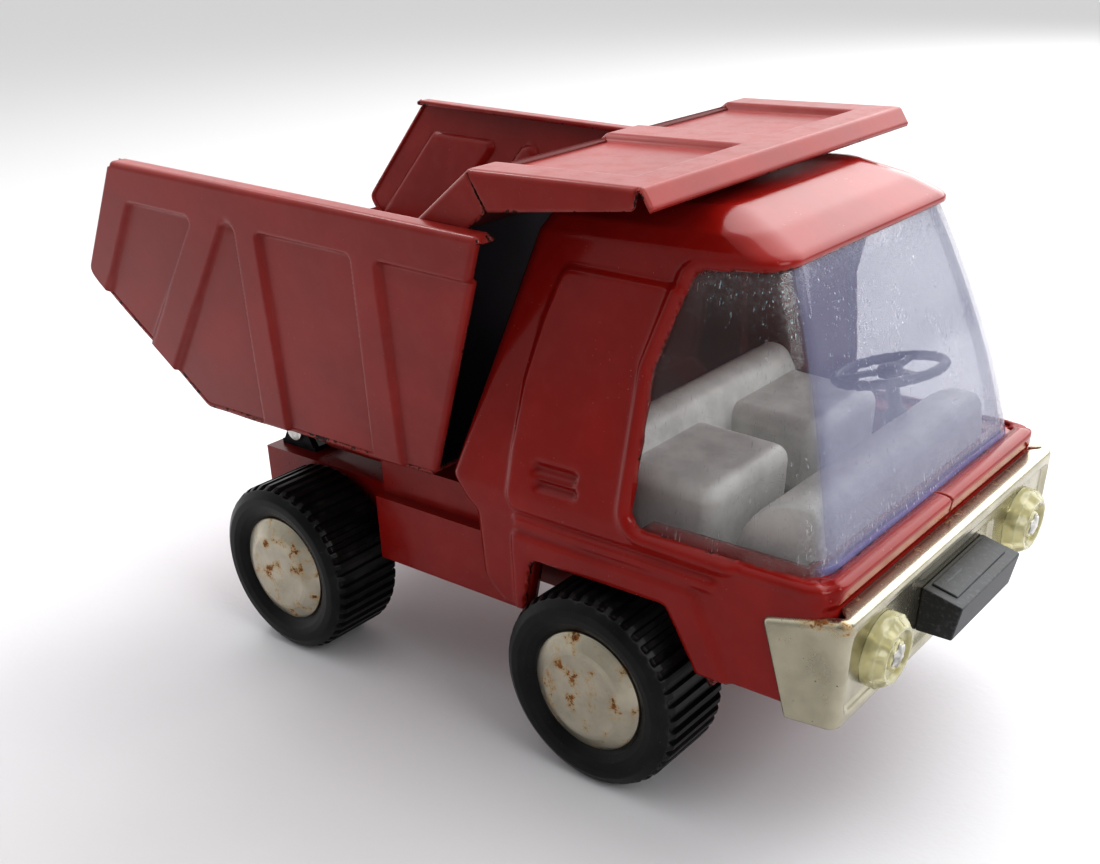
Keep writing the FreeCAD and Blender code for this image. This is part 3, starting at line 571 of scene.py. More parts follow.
def glazing(name, colours):
    """Old clear moulding: violet tint, haze, hairline scratches and whitened corners."""
    f = Finish(name)
    place = f.coordinates()
    cloud = f.noise(9, 4, shift=4)
    scuffed = f.mark("scuff")
    hair = f.noise(0.26, 2, (1.0, 0.75, 0.016), 5).rise(0.67, 0.70)
    cross = f.noise(0.36, 2, (0.10, 0.07, 1.1), 31).rise(0.70, 0.73)
    where = f.noise(7, 2, shift=60).rise(0.42, 0.66)
    scratches = (hair * (where * 0.8 + scuffed * 1.1) + cross * where * 0.35).lesser(1.0)
    dots = f.noise(0.5, 1, shift=33).rise(0.775, 0.79)
    grime = f.noise(0.7, 5, shift=44, roughness=0.7).rise(0.46, 0.72) * scuffed
    rim = f.node("ShaderNodeFresnel", None, {"IOR": 1.46})
    front = f.mark("front")
    haze = f.mix(front, opaque(colours.glass_side), opaque(colours.glass))
    foot = place.part(2).rise(41.55, 41.1) * front
    whitened = (scratches * 0.8 + grime * 0.45 + dots * 0.4 + scuffed * 0.16).lesser(1.0)
    base = f.mix(foot * 0.45, f.mix(whitened, haze, (0.80, 0.81, 0.86, 1)), (0.24, 0.26, 0.66, 1))
    alpha = 0.045 + front * 0.19 + cloud * 0.05 + rim * 0.35 + whitened * 0.5 + foot * 0.3
    return f.done(f.coat_of(Base_Color=base, Roughness=0.05 + whitened * 0.3 + cloud * 0.06,
                            Alpha=alpha.lesser(1.0), Specular_IOR_Level=0.8, Coat_Weight=0.5,
                            Coat_Roughness=0.04, Normal=f.bump(cloud * 1.5 - scratches * 0.3, 0.12, 0.35)))


def lens(name, colours):
    """Clear yellow moulding, with painted highlights along its facets and painted shade in its ring."""
    f = Finish(name)
    fine = f.noise(0.7, 3)
    edge = f.mark("edge")
    # Painted shade darkens the ring and creases; painted highlights pale the facet edges.
    base = f.mix(f.mark("groove").rise(0.1, 0.8) * 0.4, opaque(colours.lens), (0.42, 0.36, 0.10, 1))
    base = f.mix(edge.rise(0.3, 0.9) * 0.5, base, (0.95, 0.93, 0.62, 1))
    return f.done(f.coat_of(Base_Color=base, Roughness=0.06 + fine * 0.10,
                            Transmission_Weight=0.62, IOR=1.49, Specular_IOR_Level=0.8,
                            Normal=f.bump(fine, 0.05, 0.3)))


FINISHES = {
    "cab_enamel": lambda n, c: enamel(n, c, 0.07, 0.3, 0.24),
    "bed_enamel": lambda n, c: enamel(n, c, 0.22, 0.7, 0.26, 0.06),
    "chassis_enamel": lambda n, c: enamel(n, c, 0.2, 0.7, 0.24),
    "tyre_black": tyre_black,
    "bumper_nickel": lambda n, c: plated(n, c, tuple(c.plate), 0.13, 0.745),
    "cap_nickel": lambda n, c: plated(n, c, tuple(c.cap), 0.26, 0.622),
    "bright_steel": lambda n, c: steel(n, (0.62, 0.61, 0.58), 0.25),
    "black_steel": lambda n, c: steel(n, (0.03, 0.03, 0.033), 0.4),
    "bulkhead_front": lambda n, c: plastic(n, (0.030, 0.022, 0.045), 0.4, (0.08, 0.05, 0.07), 0.4),
    "glazing": glazing,
    "lamp_lens": lens,
    "block_black": lambda n, c: plastic(n, tuple(c.block), 0.42, (0.20, 0.21, 0.23), 0.35),
    "wheel_dark": lambda n, c: plastic(n, (0.03, 0.034, 0.055), 0.4, (0.2, 0.2, 0.24), 0.3),
    "cabin_white": lambda n, c: plastic(n, tuple(c.cabin), 0.3, (0.5, 0.5, 0.48), 0.3),
}


# User sizes and colours

def length(name, description, default, low=0.0, high=0.02):
    return bpy.props.FloatProperty(name=name, description=description, default=default * MM, min=low,
                                   max=high, precision=5, unit="LENGTH", subtype="DISTANCE")


def colour(name, description, default):
    return bpy.props.FloatVectorProperty(name=name, description=description, default=default, size=3,
                                         min=0.0, max=1.0, subtype="COLOR")


class TruckSizes(bpy.types.PropertyGroup):
    """Sizes of the pressings and mouldings."""
    sheet: length("Sheet", "Thickness of the pressed steel", 0.6)
    fold: length("Fold radius", "Outer radius of the folds in the sheet", 0.9)
    rib: length("Rib height", "How far the ribs on the bed's sides stand out", 0.95)
    canopy_recess: length("Canopy recess", "Depth of the two panels in the canopy", 1.1)
    door: length("Door height", "How far the door panel stands out", 0.62)
    bead: length("Window bead", "How far the bead round the glazing stands out", 0.55)
    tread: length("Tread depth", "Depth of the grooves in the tyres", 0.65)
    glass: length("Glazing", "Thickness of the clear moulding", 0.7)
    tread_ribs: bpy.props.IntProperty(name="Tread ribs", description="Ribs round each tyre", default=44,
                                      min=12, max=80)


class TruckColours(bpy.types.PropertyGroup):
    """Colours of the finishes."""
    enamel: colour("Enamel", "Baked red paint", (0.25, 0.0095, 0.0065))
    bloom: colour("Bloom", "Rubbed and dusty paint", (0.40, 0.15, 0.13))
    chip: colour("Chips", "Metal and primer under chipped paint", (0.028, 0.014, 0.012))
    tyre: colour("Tyres", "Black moulded tyres", (0.005, 0.0052, 0.0056))
    plate: colour("Bumper plate", "Dulled nickel plate", (0.46, 0.43, 0.33))
    cap: colour("Cap plate", "Dull plate on the wheel caps", (0.50, 0.46, 0.37))
    rust: colour("Rust", "Rust on the plate", (0.30, 0.105, 0.018))
    glass: colour("Windshield tint", "The front of the clear moulding", (0.20, 0.21, 0.33))
    glass_side: colour("Side tint", "The sides of the clear moulding", (0.20, 0.20, 0.20))
    lens: colour("Lamps", "Clear yellow lamp lenses", (0.84, 0.79, 0.45))
    block: colour("Bumper block", "Dark moulded block", (0.011, 0.012, 0.014))
    cabin: colour("Interior", "White moulded interior", (0.86, 0.86, 0.84))


def in_mm(name):
    return getattr(bpy.context.scene.truck_sizes, name) / MM


# Wheels

def tyre_part():
    """The left tyre about its own centre: ribbed tread, seat for the cap, hollow back."""
    out, back = TYRE_OUTER_Y, TYRE_INNER_Y
    ribs, depth = bpy.context.scene.truck_sizes.tread_ribs, in_mm("tread")
    profile = rounded_path([
        (1.6, back + 0.1), (3.4, back + 0.1), (3.4, out - 3.9), (12.3, out - 3.9), (12.5, back),
        (14.1, back), (TYRE_R, back + 0.9), (TYRE_R, out - 2.0), (14.5, out - 0.9), (13.2, out - 0.05),
        (12.0, out), (10.9, out - 0.3), (9.9, out - 0.95), (9.4, out - 1.45), (1.6, out - 1.5),
    ], 0.8, 0.42, 5)

    def relief(radius, height, turn):
        groove = smooth(0.5 - np.cos(ribs * turn) * 1.7)
        reach = smooth((radius - 13.3) / 1.0) * smooth((out - 0.8 - height) / 0.8)
        return -depth * groove * reach

    return lathe(profile, ribs * 10, relief)


def cap_part():
    """The left cap: a nearly flat face with a broad sloped rim."""
    seat = TYRE_OUTER_Y - 1.5
    profile = rounded_path([
        (9.25, seat + 0.02), (9.25, seat + 0.3), (8.9, seat + 0.5), (7.0, seat + 1.5), (6.3, seat + 1.72),
        (3.0, seat + 1.8), (0.0, seat + 1.82),
    ], 0.7, 0.3, 6)
    return lathe(profile, 96)


def on_axle(part, end, side):
    points, faces = part
    placed = points + [HALF_BASE if end == "front" else -HALF_BASE, 0, TYRE_R], faces
    return placed if side > 0 else mirrored(placed)


# Bed

FLARE = math.radians(7.8)
RIM_HALF = 38.3
RIM_REAR = (-63.0, 83.1)
RIM_FRONT = (19.6, 79.4)
TAIL_CORNER = (-79.6, 62.0)
TAIL_LOW = (-78.3, 60.0)
RAMP_FOOT = (-54.6, 39.2)
SIDE_FOOT = (1.4, 39.2)
RIM_FLANGE = 3.0
FLOOR_TOP = 40.0
PANELS = (
    ((-60.4, 76.2), (-43.4, 75.4), (-74.0, 41.0), (-84.0, 47.8)),
    ((-35.8, 75.1), (-32.9, 75.0), (-39.3, 33.0), (-71.0, 33.0)),
    ((-27.3, 74.7), (-6.7, 73.8), (-12.3, 33.0), (-32.9, 33.0)),
    ((-1.2, 73.5), (24.0, 72.3), (14.0, 33.0), (-5.5, 33.0)),
)
BULKHEAD_FOOT = (-11.0, 39.2)
BULKHEAD_FOLD = (-2.0, 74.5)
CANOPY_REAR = (15.5, 87.6)
CANOPY_FRONT = (43.7, 87.6)
CANOPY_LIP = (45.3, 84.9)
CANOPY_HALF = 34.6
RECESS_INNER_Y = 4.5
RECESS_OUTER_Y = 28.0
RECESS_FRONT_X = 38.0
RECESS_ON_RISER = 3.0
SIDE_WELD = (-34.4, 75.2)
SIDE_LENGTH = 96.0
SIDE_PITCH = 0.36
FLOOR_TUCK = 0.95
FLOOR_SHEET = 0.8


def bed_half(z):
    """Half the bed's outer width at a height."""
    return RIM_HALF - (RIM_REAR[1] - z) * math.tan(FLARE)


def bed_side_part():
    """The right side: ribs and borders stand out round four panels, and the rim folds inwards."""
    fold = in_mm("fold")
    high = RIM_REAR[1] - RAMP_FOOT[1]
    rise = spaced(high - fold, SIDE_PITCH, 1.4, 0.13) / high
    run = spaced(SIDE_LENGTH, SIDE_PITCH, 1.4, 0.13) / SIDE_LENGTH
    z_rear = RAMP_FOOT[1] + high * rise
    fine_z = np.linspace(RAMP_FOOT[1] - 4, RIM_REAR[1] + 4, 1000)
    fine_x = np.interp(fine_z, [RAMP_FOOT[1], TAIL_LOW[1], TAIL_CORNER[1], RIM_REAR[1]],
                       [RAMP_FOOT[0], TAIL_LOW[0], TAIL_CORNER[0], RIM_REAR[0]])
    fine_x = np.convolve(np.pad(fine_x, 20, "edge"), np.ones(41) / 41, "valid")
    x_rear = np.interp(z_rear, fine_z, fine_x)
    z_front = SIDE_FOOT[1] + (RIM_FRONT[1] - SIDE_FOOT[1]) * rise
    x_front = SIDE_FOOT[0] + (RIM_FRONT[0] - SIDE_FOOT[0]) * rise
    x = x_rear[:, None] + (x_front - x_rear)[:, None] * run
    z = z_rear[:, None] + (z_front - z_rear)[:, None] * run
    sheet = np.stack([x, -bed_half(z), z], -1)
    up = np.array([0, -math.sin(FLARE), math.cos(FLARE)])
    inward = np.array([0, math.cos(FLARE), math.sin(FLARE)])
    rim_x = RIM_REAR[0] + (RIM_FRONT[0] - RIM_REAR[0]) * run
    rim_z = RIM_REAR[1] + (RIM_FRONT[1] - RIM_REAR[1]) * run
    rim = np.stack([rim_x, -bed_half(rim_z), rim_z], -1)
    centre = rim + (inward - up) * fold
    rows = [sheet]
    for angle in np.linspace(0, math.pi / 2 + FLARE, 8)[1:]:
        rows.append((centre + fold * (up * math.sin(angle) - inward * math.cos(angle)))[None])
    shelf = rows[-1]
    for reach in np.linspace(0, RIM_FLANGE - fold, 7)[1:]:
        rows.append(shelf + [0, reach, 0])
    for drop in (0.25, 0.6):
        rows.append(rows[-1] + [0, 0.12, -drop])
    points = np.concatenate(rows)
    outward = slopes(points, False)
    panel = np.zeros(sheet.shape[:2])
    for outline in PANELS:
        panel = np.maximum(panel, pressed(depth_in(outline, x, z, 0.9), 0.85))
    weld = np.exp(-((x - SIDE_WELD[0]) ** 2 + (z - SIDE_WELD[1]) ** 2) / 0.8)
    height = np.zeros(points.shape[:2])
    height[:len(rise)] = -in_mm("rib") * panel - 0.3 * weld
    width = (x_front - x_rear)[:, None]
    along = np.vstack([width * run, np.repeat(width[-1:] * run, len(points) - len(rise), 0)])
    back = np.vstack([width * (1 - run), np.repeat(width[-1:] * (1 - run), len(points) - len(rise), 0)])
    height -= turned_in(along, fold) + turned_in(back, fold * 1.2)
    height[:len(rise)] -= turned_in((rise * high)[:, None] + 0 * x, fold)
    points = points + outward * height[..., None]
    return points.reshape(-1, 3), grid_faces(*points.shape[:2])


def swept(path, half, columns, bulge=None):
    """A sheet that follows an (x, z) path, its columns going from left to right."""
    across = half[:, None] * np.linspace(1, -1, columns)
    points = np.stack([np.repeat(path[:, :1], columns, 1), across, np.repeat(path[:, 1:], columns, 1)], -1)
    if bulge is not None:
        points = points + slopes(points, False) * bulge(points)[..., None]
    return points.reshape(-1, 3), grid_faces(len(path), columns)


def bed_floor_part():
    """The floor and the tail ramp; their edges tuck into the sides' panels."""
    path = rounded_path([(-77.06, 59.98), (-54.3, FLOOR_TOP), (BULKHEAD_FOOT[0] + 0.7, FLOOR_TOP)], 2.0, 0.6)

    def dents(points):
        x, y = points[..., 0], points[..., 1]
        wave = np.sin(x * 0.21 + 1.3) * np.sin(y * 0.17 + 0.4) + 0.6 * np.sin(x * 0.43 - y * 0.31)
        return 0.10 * wave

    return swept(path, bed_half(path[:, 1]) - FLOOR_TUCK, 90, dents)


def bulkhead_part():
    """The apron ahead of the floor and the bulkhead that leans forward from it."""
    path = rounded_path([(0.8, 39.2), BULKHEAD_FOOT, BULKHEAD_FOLD], 0.8, 0.5)
    return swept(path, bed_half(path[:, 1]) - FLOOR_TUCK, 80)


def canopy_part():
    """Riser, canopy and lip in one sheet, with side flanges mitred at the fold."""
    fold, half = in_mm("fold"), CANOPY_HALF
    path = rounded_path([BULKHEAD_FOLD, CANOPY_REAR, CANOPY_FRONT, CANOPY_LIP], 0.8, 0.35)
    step = np.linalg.norm(np.diff(path, axis=0), axis=1)
    reach = np.concatenate([[0], np.cumsum(step)])
    rear = np.argmin(np.hypot(path[:, 0] - CANOPY_REAR[0], path[:, 1] - CANOPY_REAR[1]))
    stub = fold * 0.5
    riser_length = reach[rear]
    drop = np.where(
        np.arange(len(path)) <= rear,
        np.interp(reach, [0, 3.5, riser_length - 1.0, riser_length - 0.2], [stub, 7.0, 6.15, stub]),
        np.interp(path[:, 0], [15.75, 18.8, 42.5, 42.75], [stub, 5.4, 2.9, stub]))
    quarter = math.pi / 2 * fold
    developed = np.where(drop >= fold, quarter + drop - fold,
                         fold * np.arccos(np.clip(1 - drop / fold, -1, 1)))
    share = np.concatenate([np.linspace(1, 0.35, 8), np.linspace(0.3, 0, 8)])
    flat = np.linspace(1, -1, 170)[1:-1] * (half - fold)
    path3 = np.stack([path[:, 0], 0 * reach, path[:, 1]], -1)
    ahead = np.gradient(path3, axis=0)
    ahead /= np.linalg.norm(ahead, axis=1, keepdims=True)
    under = np.cross(ahead, [0, -1, 0])
    under *= -np.sign((under * [0, 0, 1]).sum(1, keepdims=True) + 1e-9)
    columns = []
    for sign in (1, -1):
        length_here = developed[:, None] * (share if sign > 0 else share[::-1])
        turn = np.clip(length_here / fold, 0, math.pi / 2)
        y = half - fold + fold * np.sin(turn)
        down = fold * (1 - np.cos(turn)) + np.maximum(length_here - quarter, 0)
        wing = path3[:, None] + under[:, None] * down[..., None]
        wing[..., 1] = sign * y
        columns.append(wing)
    deck = np.repeat(path3[:, None], len(flat), 1)
    deck[..., 1] = flat
    points = np.concatenate([columns[0], deck, columns[1]], 1)
    recess = np.minimum.reduce([
        np.abs(points[..., 1]) - RECESS_INNER_Y, RECESS_OUTER_Y - np.abs(points[..., 1]),
        RECESS_FRONT_X - points[..., 0],
        np.repeat((reach - riser_length + RECESS_ON_RISER)[:, None], points.shape[1], 1)])
    height = -in_mm("canopy_recess") * pressed(recess, 1.4)
    height -= turned_in(np.repeat((reach[-1] - reach)[:, None], points.shape[1], 1), 0.35)
    points = points + slopes(points, False) * height[..., None]
    return points.reshape(-1, 3), grid_faces(*points.shape[:2])


# Cab: height, rear, front, half width, rear corner radius, front corner radius

CAB_LEVELS = np.array([
    (22.5, 14.6, 69.5, BELT, 2.0, 2.6), (25.8, 10.8, 69.5, BELT, 2.0, 2.6),
    (36.5, 10.2, 69.5, BELT, 2.0, 2.6), (38.0, 8.2, 69.5, BELT, 2.0, 2.8),
    (41.0, 5.5, 67.9, BELT - 0.3, 2.0, 4.0), (77.0, 17.7, 57.9, BELT - 8.0, 2.5, 4.5),
    (77.9, 18.0, 57.2, BELT - 8.2, 2.5, 4.8), (80.2, 19.4, 52.6, BELT - 9.4, 3.0, 5.0),
    (82.6, 23.0, 46.0, BELT - 13.3, 3.0, 4.0),
])
WINDOW = ((39.1, 41.4), (40.5, 62.4), (45.0, 75.5), (58.5, 76.9), (90.0, 76.9), (90.0, 41.0), (56.0, 41.0))
ARCH = ((19.0, 19.0), (21.6, 31.3), (45.0, 31.5), (51.8, 19.0))
ARCH_LIP = ((19.0, 20.8), (21.6, 31.4), (45.0, 31.6), (51.7, 20.8))
ARCH_BAND = ((18.0, 14.0), (18.0, 35.1), (49.3, 35.1), (57.6, 16.4), (57.6, 14.0))
BELT_STRIP = ((18.6, 35.9), (53.0, 35.5), (53.0, 37.3), (18.6, 37.9))
DOOR = ((17.2, 38.7), (17.6, 47.0), (19.0, 57.5), (21.3, 66.0), (24.2, 73.7), (43.6, 73.2), (56.0, 60.0),
        (56.0, 38.4))
HANDLES = (((21.9, 44.75), (29.8, 44.75), (29.8, 46.35), (21.9, 46.35)),
           ((22.6, 42.6), (29.9, 42.6), (29.9, 44.05), (22.6, 44.05)))
SEAM_Y = 0.9
BACK_FOOT = (17.4, 28.4, 36.4)
SILL_Z = 40.2
SILL_REAR_X = 39.5


def cab_rows(levels, pitch, blur):
    """The levels filled in at an even pitch, with their creases softened."""
    step = np.linalg.norm(np.diff(levels[:, :4], axis=0), axis=1)
    reach = np.concatenate([[0], np.cumsum(step)])
    even = np.arange(0, reach[-1], pitch)
    rows = np.stack([np.interp(even, reach, levels[:, k]) for k in range(levels.shape[1])], 1)
    spread = max(1, int(blur / pitch) // 2)
    padded = np.pad(rows, ((spread, spread), (0, 0)), "reflect", reflect_type="odd")
    kernel = np.ones(2 * spread + 1) / (2 * spread + 1)
    return np.stack([np.convolve(padded[:, k], kernel, "valid") for k in range(rows.shape[1])], 1)


def cab_ring(rows, inset, side_pitch, front_pitch, corner_steps, whole=True):
    """Points round the cab at each row: its sides, corners and front, and its back too when whole."""
    z, rear, front, half, rear_r, front_r = rows.T
    rear, front, half = rear + inset, front - inset, half - inset
    rear_r, front_r = np.maximum(rear_r - inset, 0.2), np.maximum(front_r - inset, 0.2)
    side = np.linspace(0, 1, int(56 / side_pitch))
    seam = (SEAM_Y + np.array([-0.5, -0.25, -0.12, 0, 0.12, 0.25, 0.5])) / (2 * (BELT - 2.6)) + 0.5
    wall = np.unique(np.concatenate([np.linspace(0, 1, int(62 / front_pitch)), seam]))
    columns = []

    def add(x, y):
        columns.append(np.stack([x, y, np.repeat(z[:, None], x.shape[1], 1)], -1))

    def corner(centre_x, centre_y, radius, start):
        turn = np.radians(np.linspace(start, start + 90, corner_steps))[1:-1]
        add(centre_x[:, None] + radius[:, None] * np.cos(turn),
            centre_y[:, None] + radius[:, None] * np.sin(turn))

    def straight(x0, x1, y0, y1, share):
        add(x0[:, None] + (x1 - x0)[:, None] * share, y0[:, None] + (y1 - y0)[:, None] * share)

    back = np.linspace(0, 1, int(31 / front_pitch))
    if whole:
        straight(rear, rear, 0 * half, rear_r - half, back)
        corner(rear + rear_r, rear_r - half, rear_r, 180)
    straight(rear + rear_r, front - front_r, -half, -half, side)
    corner(front - front_r, front_r - half, front_r, 270)
    straight(front, front, front_r - half, half - front_r, wall)
    corner(front - front_r, half - front_r, front_r, 0)
    straight(front - front_r, rear + rear_r, half, half, side)
    if whole:
        corner(rear + rear_r, half - rear_r, rear_r, 90)
        straight(rear, rear, half - rear_r, 0 * half, back[:-1])
    return np.concatenate(columns, 1)


def cab_shell_part():
    """Cab walls and roof in one pressing, open at the glazing, the wheel arches and the back's foot."""
    rows = cab_rows(CAB_LEVELS, 0.55, 1.3)
    last = rows[-1]
    crown = []
    for scale in np.linspace(1, 0, 22)[1:]:
        centre = (last[1] + last[2]) / 2
        crown.append((last[0] + 0.3 * (1 - scale ** 2), centre - (centre - last[1]) * scale,
                      centre + (last[2] - centre) * scale, last[3] * scale, last[4] * scale, last[5] * scale))
    rows = np.vstack([rows, crown])
    points = cab_ring(rows, 0.0, 0.54, 0.9, 9)
    outward = slopes(points, True)
    x, y, z = points[..., 0], points[..., 1], points[..., 2]
    on_side = smooth((np.abs(outward[..., 1]) - 0.5) / 0.3)
    on_front = smooth((outward[..., 0] - 0.35) / 0.4) * smooth((60 - z) / 4)
    window = -depth_in(WINDOW, x, z, 2.2)
    arch = -depth_in(ARCH, x, z, 1.6)
    foot_x, foot_half, foot_z = BACK_FOOT
    notch = np.maximum.reduce([x - foot_x, np.abs(y) - foot_half, z - foot_z])
    notch = np.where(x < 25, notch, 50.0)
    door = pressed(depth_in(DOOR, x, z, 2.2), 0.85)
    band = pressed(depth_in(ARCH_BAND, x, z, 1.2), 0.8)
    strip = pressed(depth_in(BELT_STRIP, x, z, 0.8), 0.6)
    slots = np.maximum(*[pressed(depth_in(slot, x, z, 0.6), 0.55) for slot in HANDLES])
    height = on_side * (in_mm("door") * door + 0.75 * band + 0.7 * strip - 0.9 * slots)
    near = (z > 36) & (z < 80)
    lip = in_mm("bead") * np.exp(-((window - 1.35) / 0.8) ** 2) * smooth((z - 37) / 2) * near
    lip *= 1 - smooth((z - 75) / 3)
    height += lip * np.maximum(on_side, on_front)
    height += on_front * (0.75 * np.exp(-((z - 39.5) / 1.15) ** 2) - 0.45 * np.exp(-((z - 37.5) / 0.4) ** 2))
    height -= on_front * 0.9 * np.exp(-((y - SEAM_Y) / 0.13) ** 2) * smooth((z - 37.4) / 0.5)
    across = np.arctan2(np.abs(outward[..., 1]), outward[..., 0])
    height -= 1.1 * np.exp(-((across - 0.62) / 0.09) ** 2) * smooth((z - 38.4) / 0.5) * (z < 45)
    height -= turned_in(window, 1.0) + turned_in(arch, 0.7)
    height -= turned_in(z - rows[0, 0], 0.5)
    keep = np.minimum.reduce([window, arch, notch])
    points = points + outward * height[..., None]
    faces = grid_faces(*points.shape[:2], True)
    return trimmed(points.reshape(-1, 3), faces, keep.reshape(-1))


def sill_part():
    """The shelf turned in under the glazing, all round the opening."""
    level = cab_rows(CAB_LEVELS, 0.42, 1.3)
    level = level[np.argmin(np.abs(level[:, 0] - 40.1))]
    rings = np.stack([level] * 6)
    points = cab_ring(rings, np.linspace(0.6, 5.2, 6), 0.8, 0.8, 9, False)
    points[..., 2] = SILL_Z
    keep = points[..., 0] - SILL_REAR_X
    return trimmed(points.reshape(-1, 3), grid_faces(*points.shape[:2]), keep.reshape(-1))


def arch_lip_part():
    """The edge of the right wheel arch, turned in towards the tyre's well."""
    path = rounded_path(ARCH_LIP, 1.6, 0.6)
    across = np.linspace(0.35 - BELT, 2.9 - BELT, 4)
    points = np.stack([np.repeat(path[:, :1], 4, 1), np.repeat(across[None], len(path), 0),
                       np.repeat(path[:, 1:], 4, 1)], -1)
    return points.reshape(-1, 3), grid_faces(len(path), 4)


GLASS_LEVELS = np.array([
    (39.2, 5.5, 67.3, BELT - 0.8, 2.0, 7.0), (41.0, 5.5, 66.9, BELT - 1.1, 2.0, 6.5),
    (47.0, 7.5, 65.8, BELT - 1.8, 2.0, 6.2), (53.0, 9.6, 64.5, BELT - 2.7, 2.0, 6.0),
    (59.0, 11.6, 62.9, BELT - 3.9, 2.0, 5.8), (65.0, 13.7, 61.1, BELT - 5.3, 2.0, 5.6),
    (71.0, 15.7, 59.1, BELT - 7.0, 2.0, 5.3), (77.0, 17.7, 56.9, BELT - 8.9, 2.0, 5.0),
    (77.6, 17.7, 56.7, BELT - 9.0, 2.0, 5.0),
])
GLASS_EDGE = ((37.6, 38.0), (39.0, 62.6), (43.3, 77.0), (44.0, 79.0), (90.0, 79.0), (90.0, 38.0))
GLASS_FOOT, GLASS_HEAD = 41, 77


def glazing_part():
    """The clear moulding, gently uneven, cut to an edge that tucks behind the cab's opening."""
    rows = cab_rows(GLASS_LEVELS, 0.8, 1.0)
    points = cab_ring(rows, 0.0, 0.8, 0.9, 14, False)
    x, y, z = points[..., 0], points[..., 1], points[..., 2]
    wave = np.sin(y * 0.21 + z * 0.05) * np.cos(z * 0.13 + 0.7) * 0.10
    points = points + slopes(points, False) * wave[..., None]
    keep = depth_in(GLASS_EDGE, x, z, 1.5)
    return trimmed(points.reshape(-1, 3), grid_faces(*points.shape[:2]), keep.reshape(-1))


def up_the_glass(z, at_foot, at_head):
    """A value that changes evenly from the foot of the glazing to its head."""
    return np.interp(z, [GLASS_FOOT, GLASS_HEAD], [at_foot, at_head])


def glass_front(x, y, z):
    """1 on the front of the glazing and 0 on its sides."""
    side = up_the_glass(z, BELT - 1.1, BELT - 8.9)
    return smooth((x - up_the_glass(z, 62.5, 52.8)) / 2.0) * smooth((side - 1.6 - np.abs(y)) / 1.8)


def glass_scuff(x, y, z):
    """How scuffed the glazing is: most at its front corners, its foot and its head."""
    corner = np.hypot(np.abs(y) - up_the_glass(z, 29.4, 21.6), x - up_the_glass(z, 65.0, 55.4))
    strip = 1 - smooth((corner - 0.8) / 1.6)
    foot = 1 - smooth((z - GLASS_FOOT) / 5.0)
    head = smooth((z - 68) / 8.0) * smooth((60 - x) / 6)
    rear = 0.3 * smooth((49 - x) / 12) * smooth((z - 43) / 9)
    return np.clip(0.95 * strip + 0.45 * foot + 0.7 * head + rear, 0, 1)


# Interior

TUB_TOP = 32.6
SEAT_FOOT = 32.7
SEAT_HALF = 24.5


def tilted(part, centre, degrees_about_y):
    """A part turned about Y and then moved to its centre."""
    points, faces = part
    turn = math.radians(degrees_about_y)
    cos, sin = math.cos(turn), math.sin(turn)
    rotation = np.array([[cos, 0, sin], [0, 1, 0], [-sin, 0, cos]])
    return points @ rotation.T + centre, faces


def tub_parts():
    """The tub's floor and the plinth under it."""
    half = 26.0
    return [
        prism([(17.0, -half), (64.0, -half), (64.0, half), (17.0, half)], 31.6, TUB_TOP, 2),
        prism([(20.0, -20.4), (52.0, -20.4), (52.0, 20.4), (20.0, 20.4)], 29.0, 31.6, 2),
    ]


def seat_part(sign):
    """One seat's thick cushion."""
    near, far = sorted((sign * 3.2, sign * SEAT_HALF))
    return prism([(30.0, SEAT_FOOT), (46.5, SEAT_FOOT), (47.6, 45.2), (30.0, 46.0)], near, far, 1)


def seat_back_part():
    """The back that runs behind both seats."""
    side = [(26.0, SEAT_FOOT), (32.6, SEAT_FOOT), (32.6, 46.0), (30.6, 50.0), (26.0, 50.0)]
    return prism(side, -SEAT_HALF, SEAT_HALF, 1)


def dash_part():
    """The dashboard: a rounded hood that rises from the floor to the glazing's foot."""
    hood = [(50.2, SEAT_FOOT), (64.4, SEAT_FOOT), (63.6, 45.4)]
    for turn in np.radians(np.linspace(78, 180, 14)):
        hood.append((60.6 + 10.4 * math.cos(turn), 33.4 + 13.8 * math.sin(turn)))
    return prism(hood, -25.5, 25.5, 1)


WHEEL_CENTRE = np.array([52.3, 16.4, 51.3])


def steering_parts():
    """Rim, three spokes and hub, square to the column, and the column in its boot."""
    ring = np.linspace(0, 2 * math.pi, 72, endpoint=False)
    tube = np.linspace(0, 2 * math.pi, 14, endpoint=False)
    radius = 8.2 + 0.75 * np.cos(tube)[:, None] + 0 * ring
    height = 0.75 * np.sin(tube)[:, None] + 0.07 * np.cos(24 * ring)
    rim = np.stack([radius * np.cos(ring), radius * np.sin(ring), height], -1)
    rim_faces = grid_faces(len(tube), len(ring), True).tolist()
    last = (len(tube) - 1) * len(ring)
    for k in range(len(ring)):
        after = (k + 1) % len(ring)
        rim_faces.append([last + k, last + after, after, k])
    parts = [(rim.reshape(-1, 3), [face[::-1] for face in rim_faces])]
    for number in range(3):
        turn = math.pi / 2 + 2 * math.pi * number / 3
        spoke = prism([(1.5, -0.75), (7.9, -0.5), (7.9, 0.5), (1.5, 0.75)], -0.35, 0.35, 2)
        cos, sin = math.cos(turn), math.sin(turn)
        spin = np.array([[cos, -sin, 0], [sin, cos, 0], [0, 0, 1]])
        parts.append((spoke[0] @ spin.T, spoke[1]))
    hub = lathe([(0.0, -0.9), (1.6, -0.9), (2.0, -0.5), (2.0, 0.4), (1.5, 0.9), (0.0, 1.0)], 28)
    column = lathe([(0.0, -9.2), (2.4, -9.2), (2.0, -6.6), (1.1, -5.8), (1.05, -0.4), (0.0, -0.4)], 28)
    upright = np.array([[1, 0, 0], [0, 0, -1], [0, 1, 0]])
    for points, faces in (hub, column):
        parts.append((points @ upright.T, faces))
    return [tilted(part, WHEEL_CENTRE, -12.0) for part in parts]


# Bumper, lamps and block

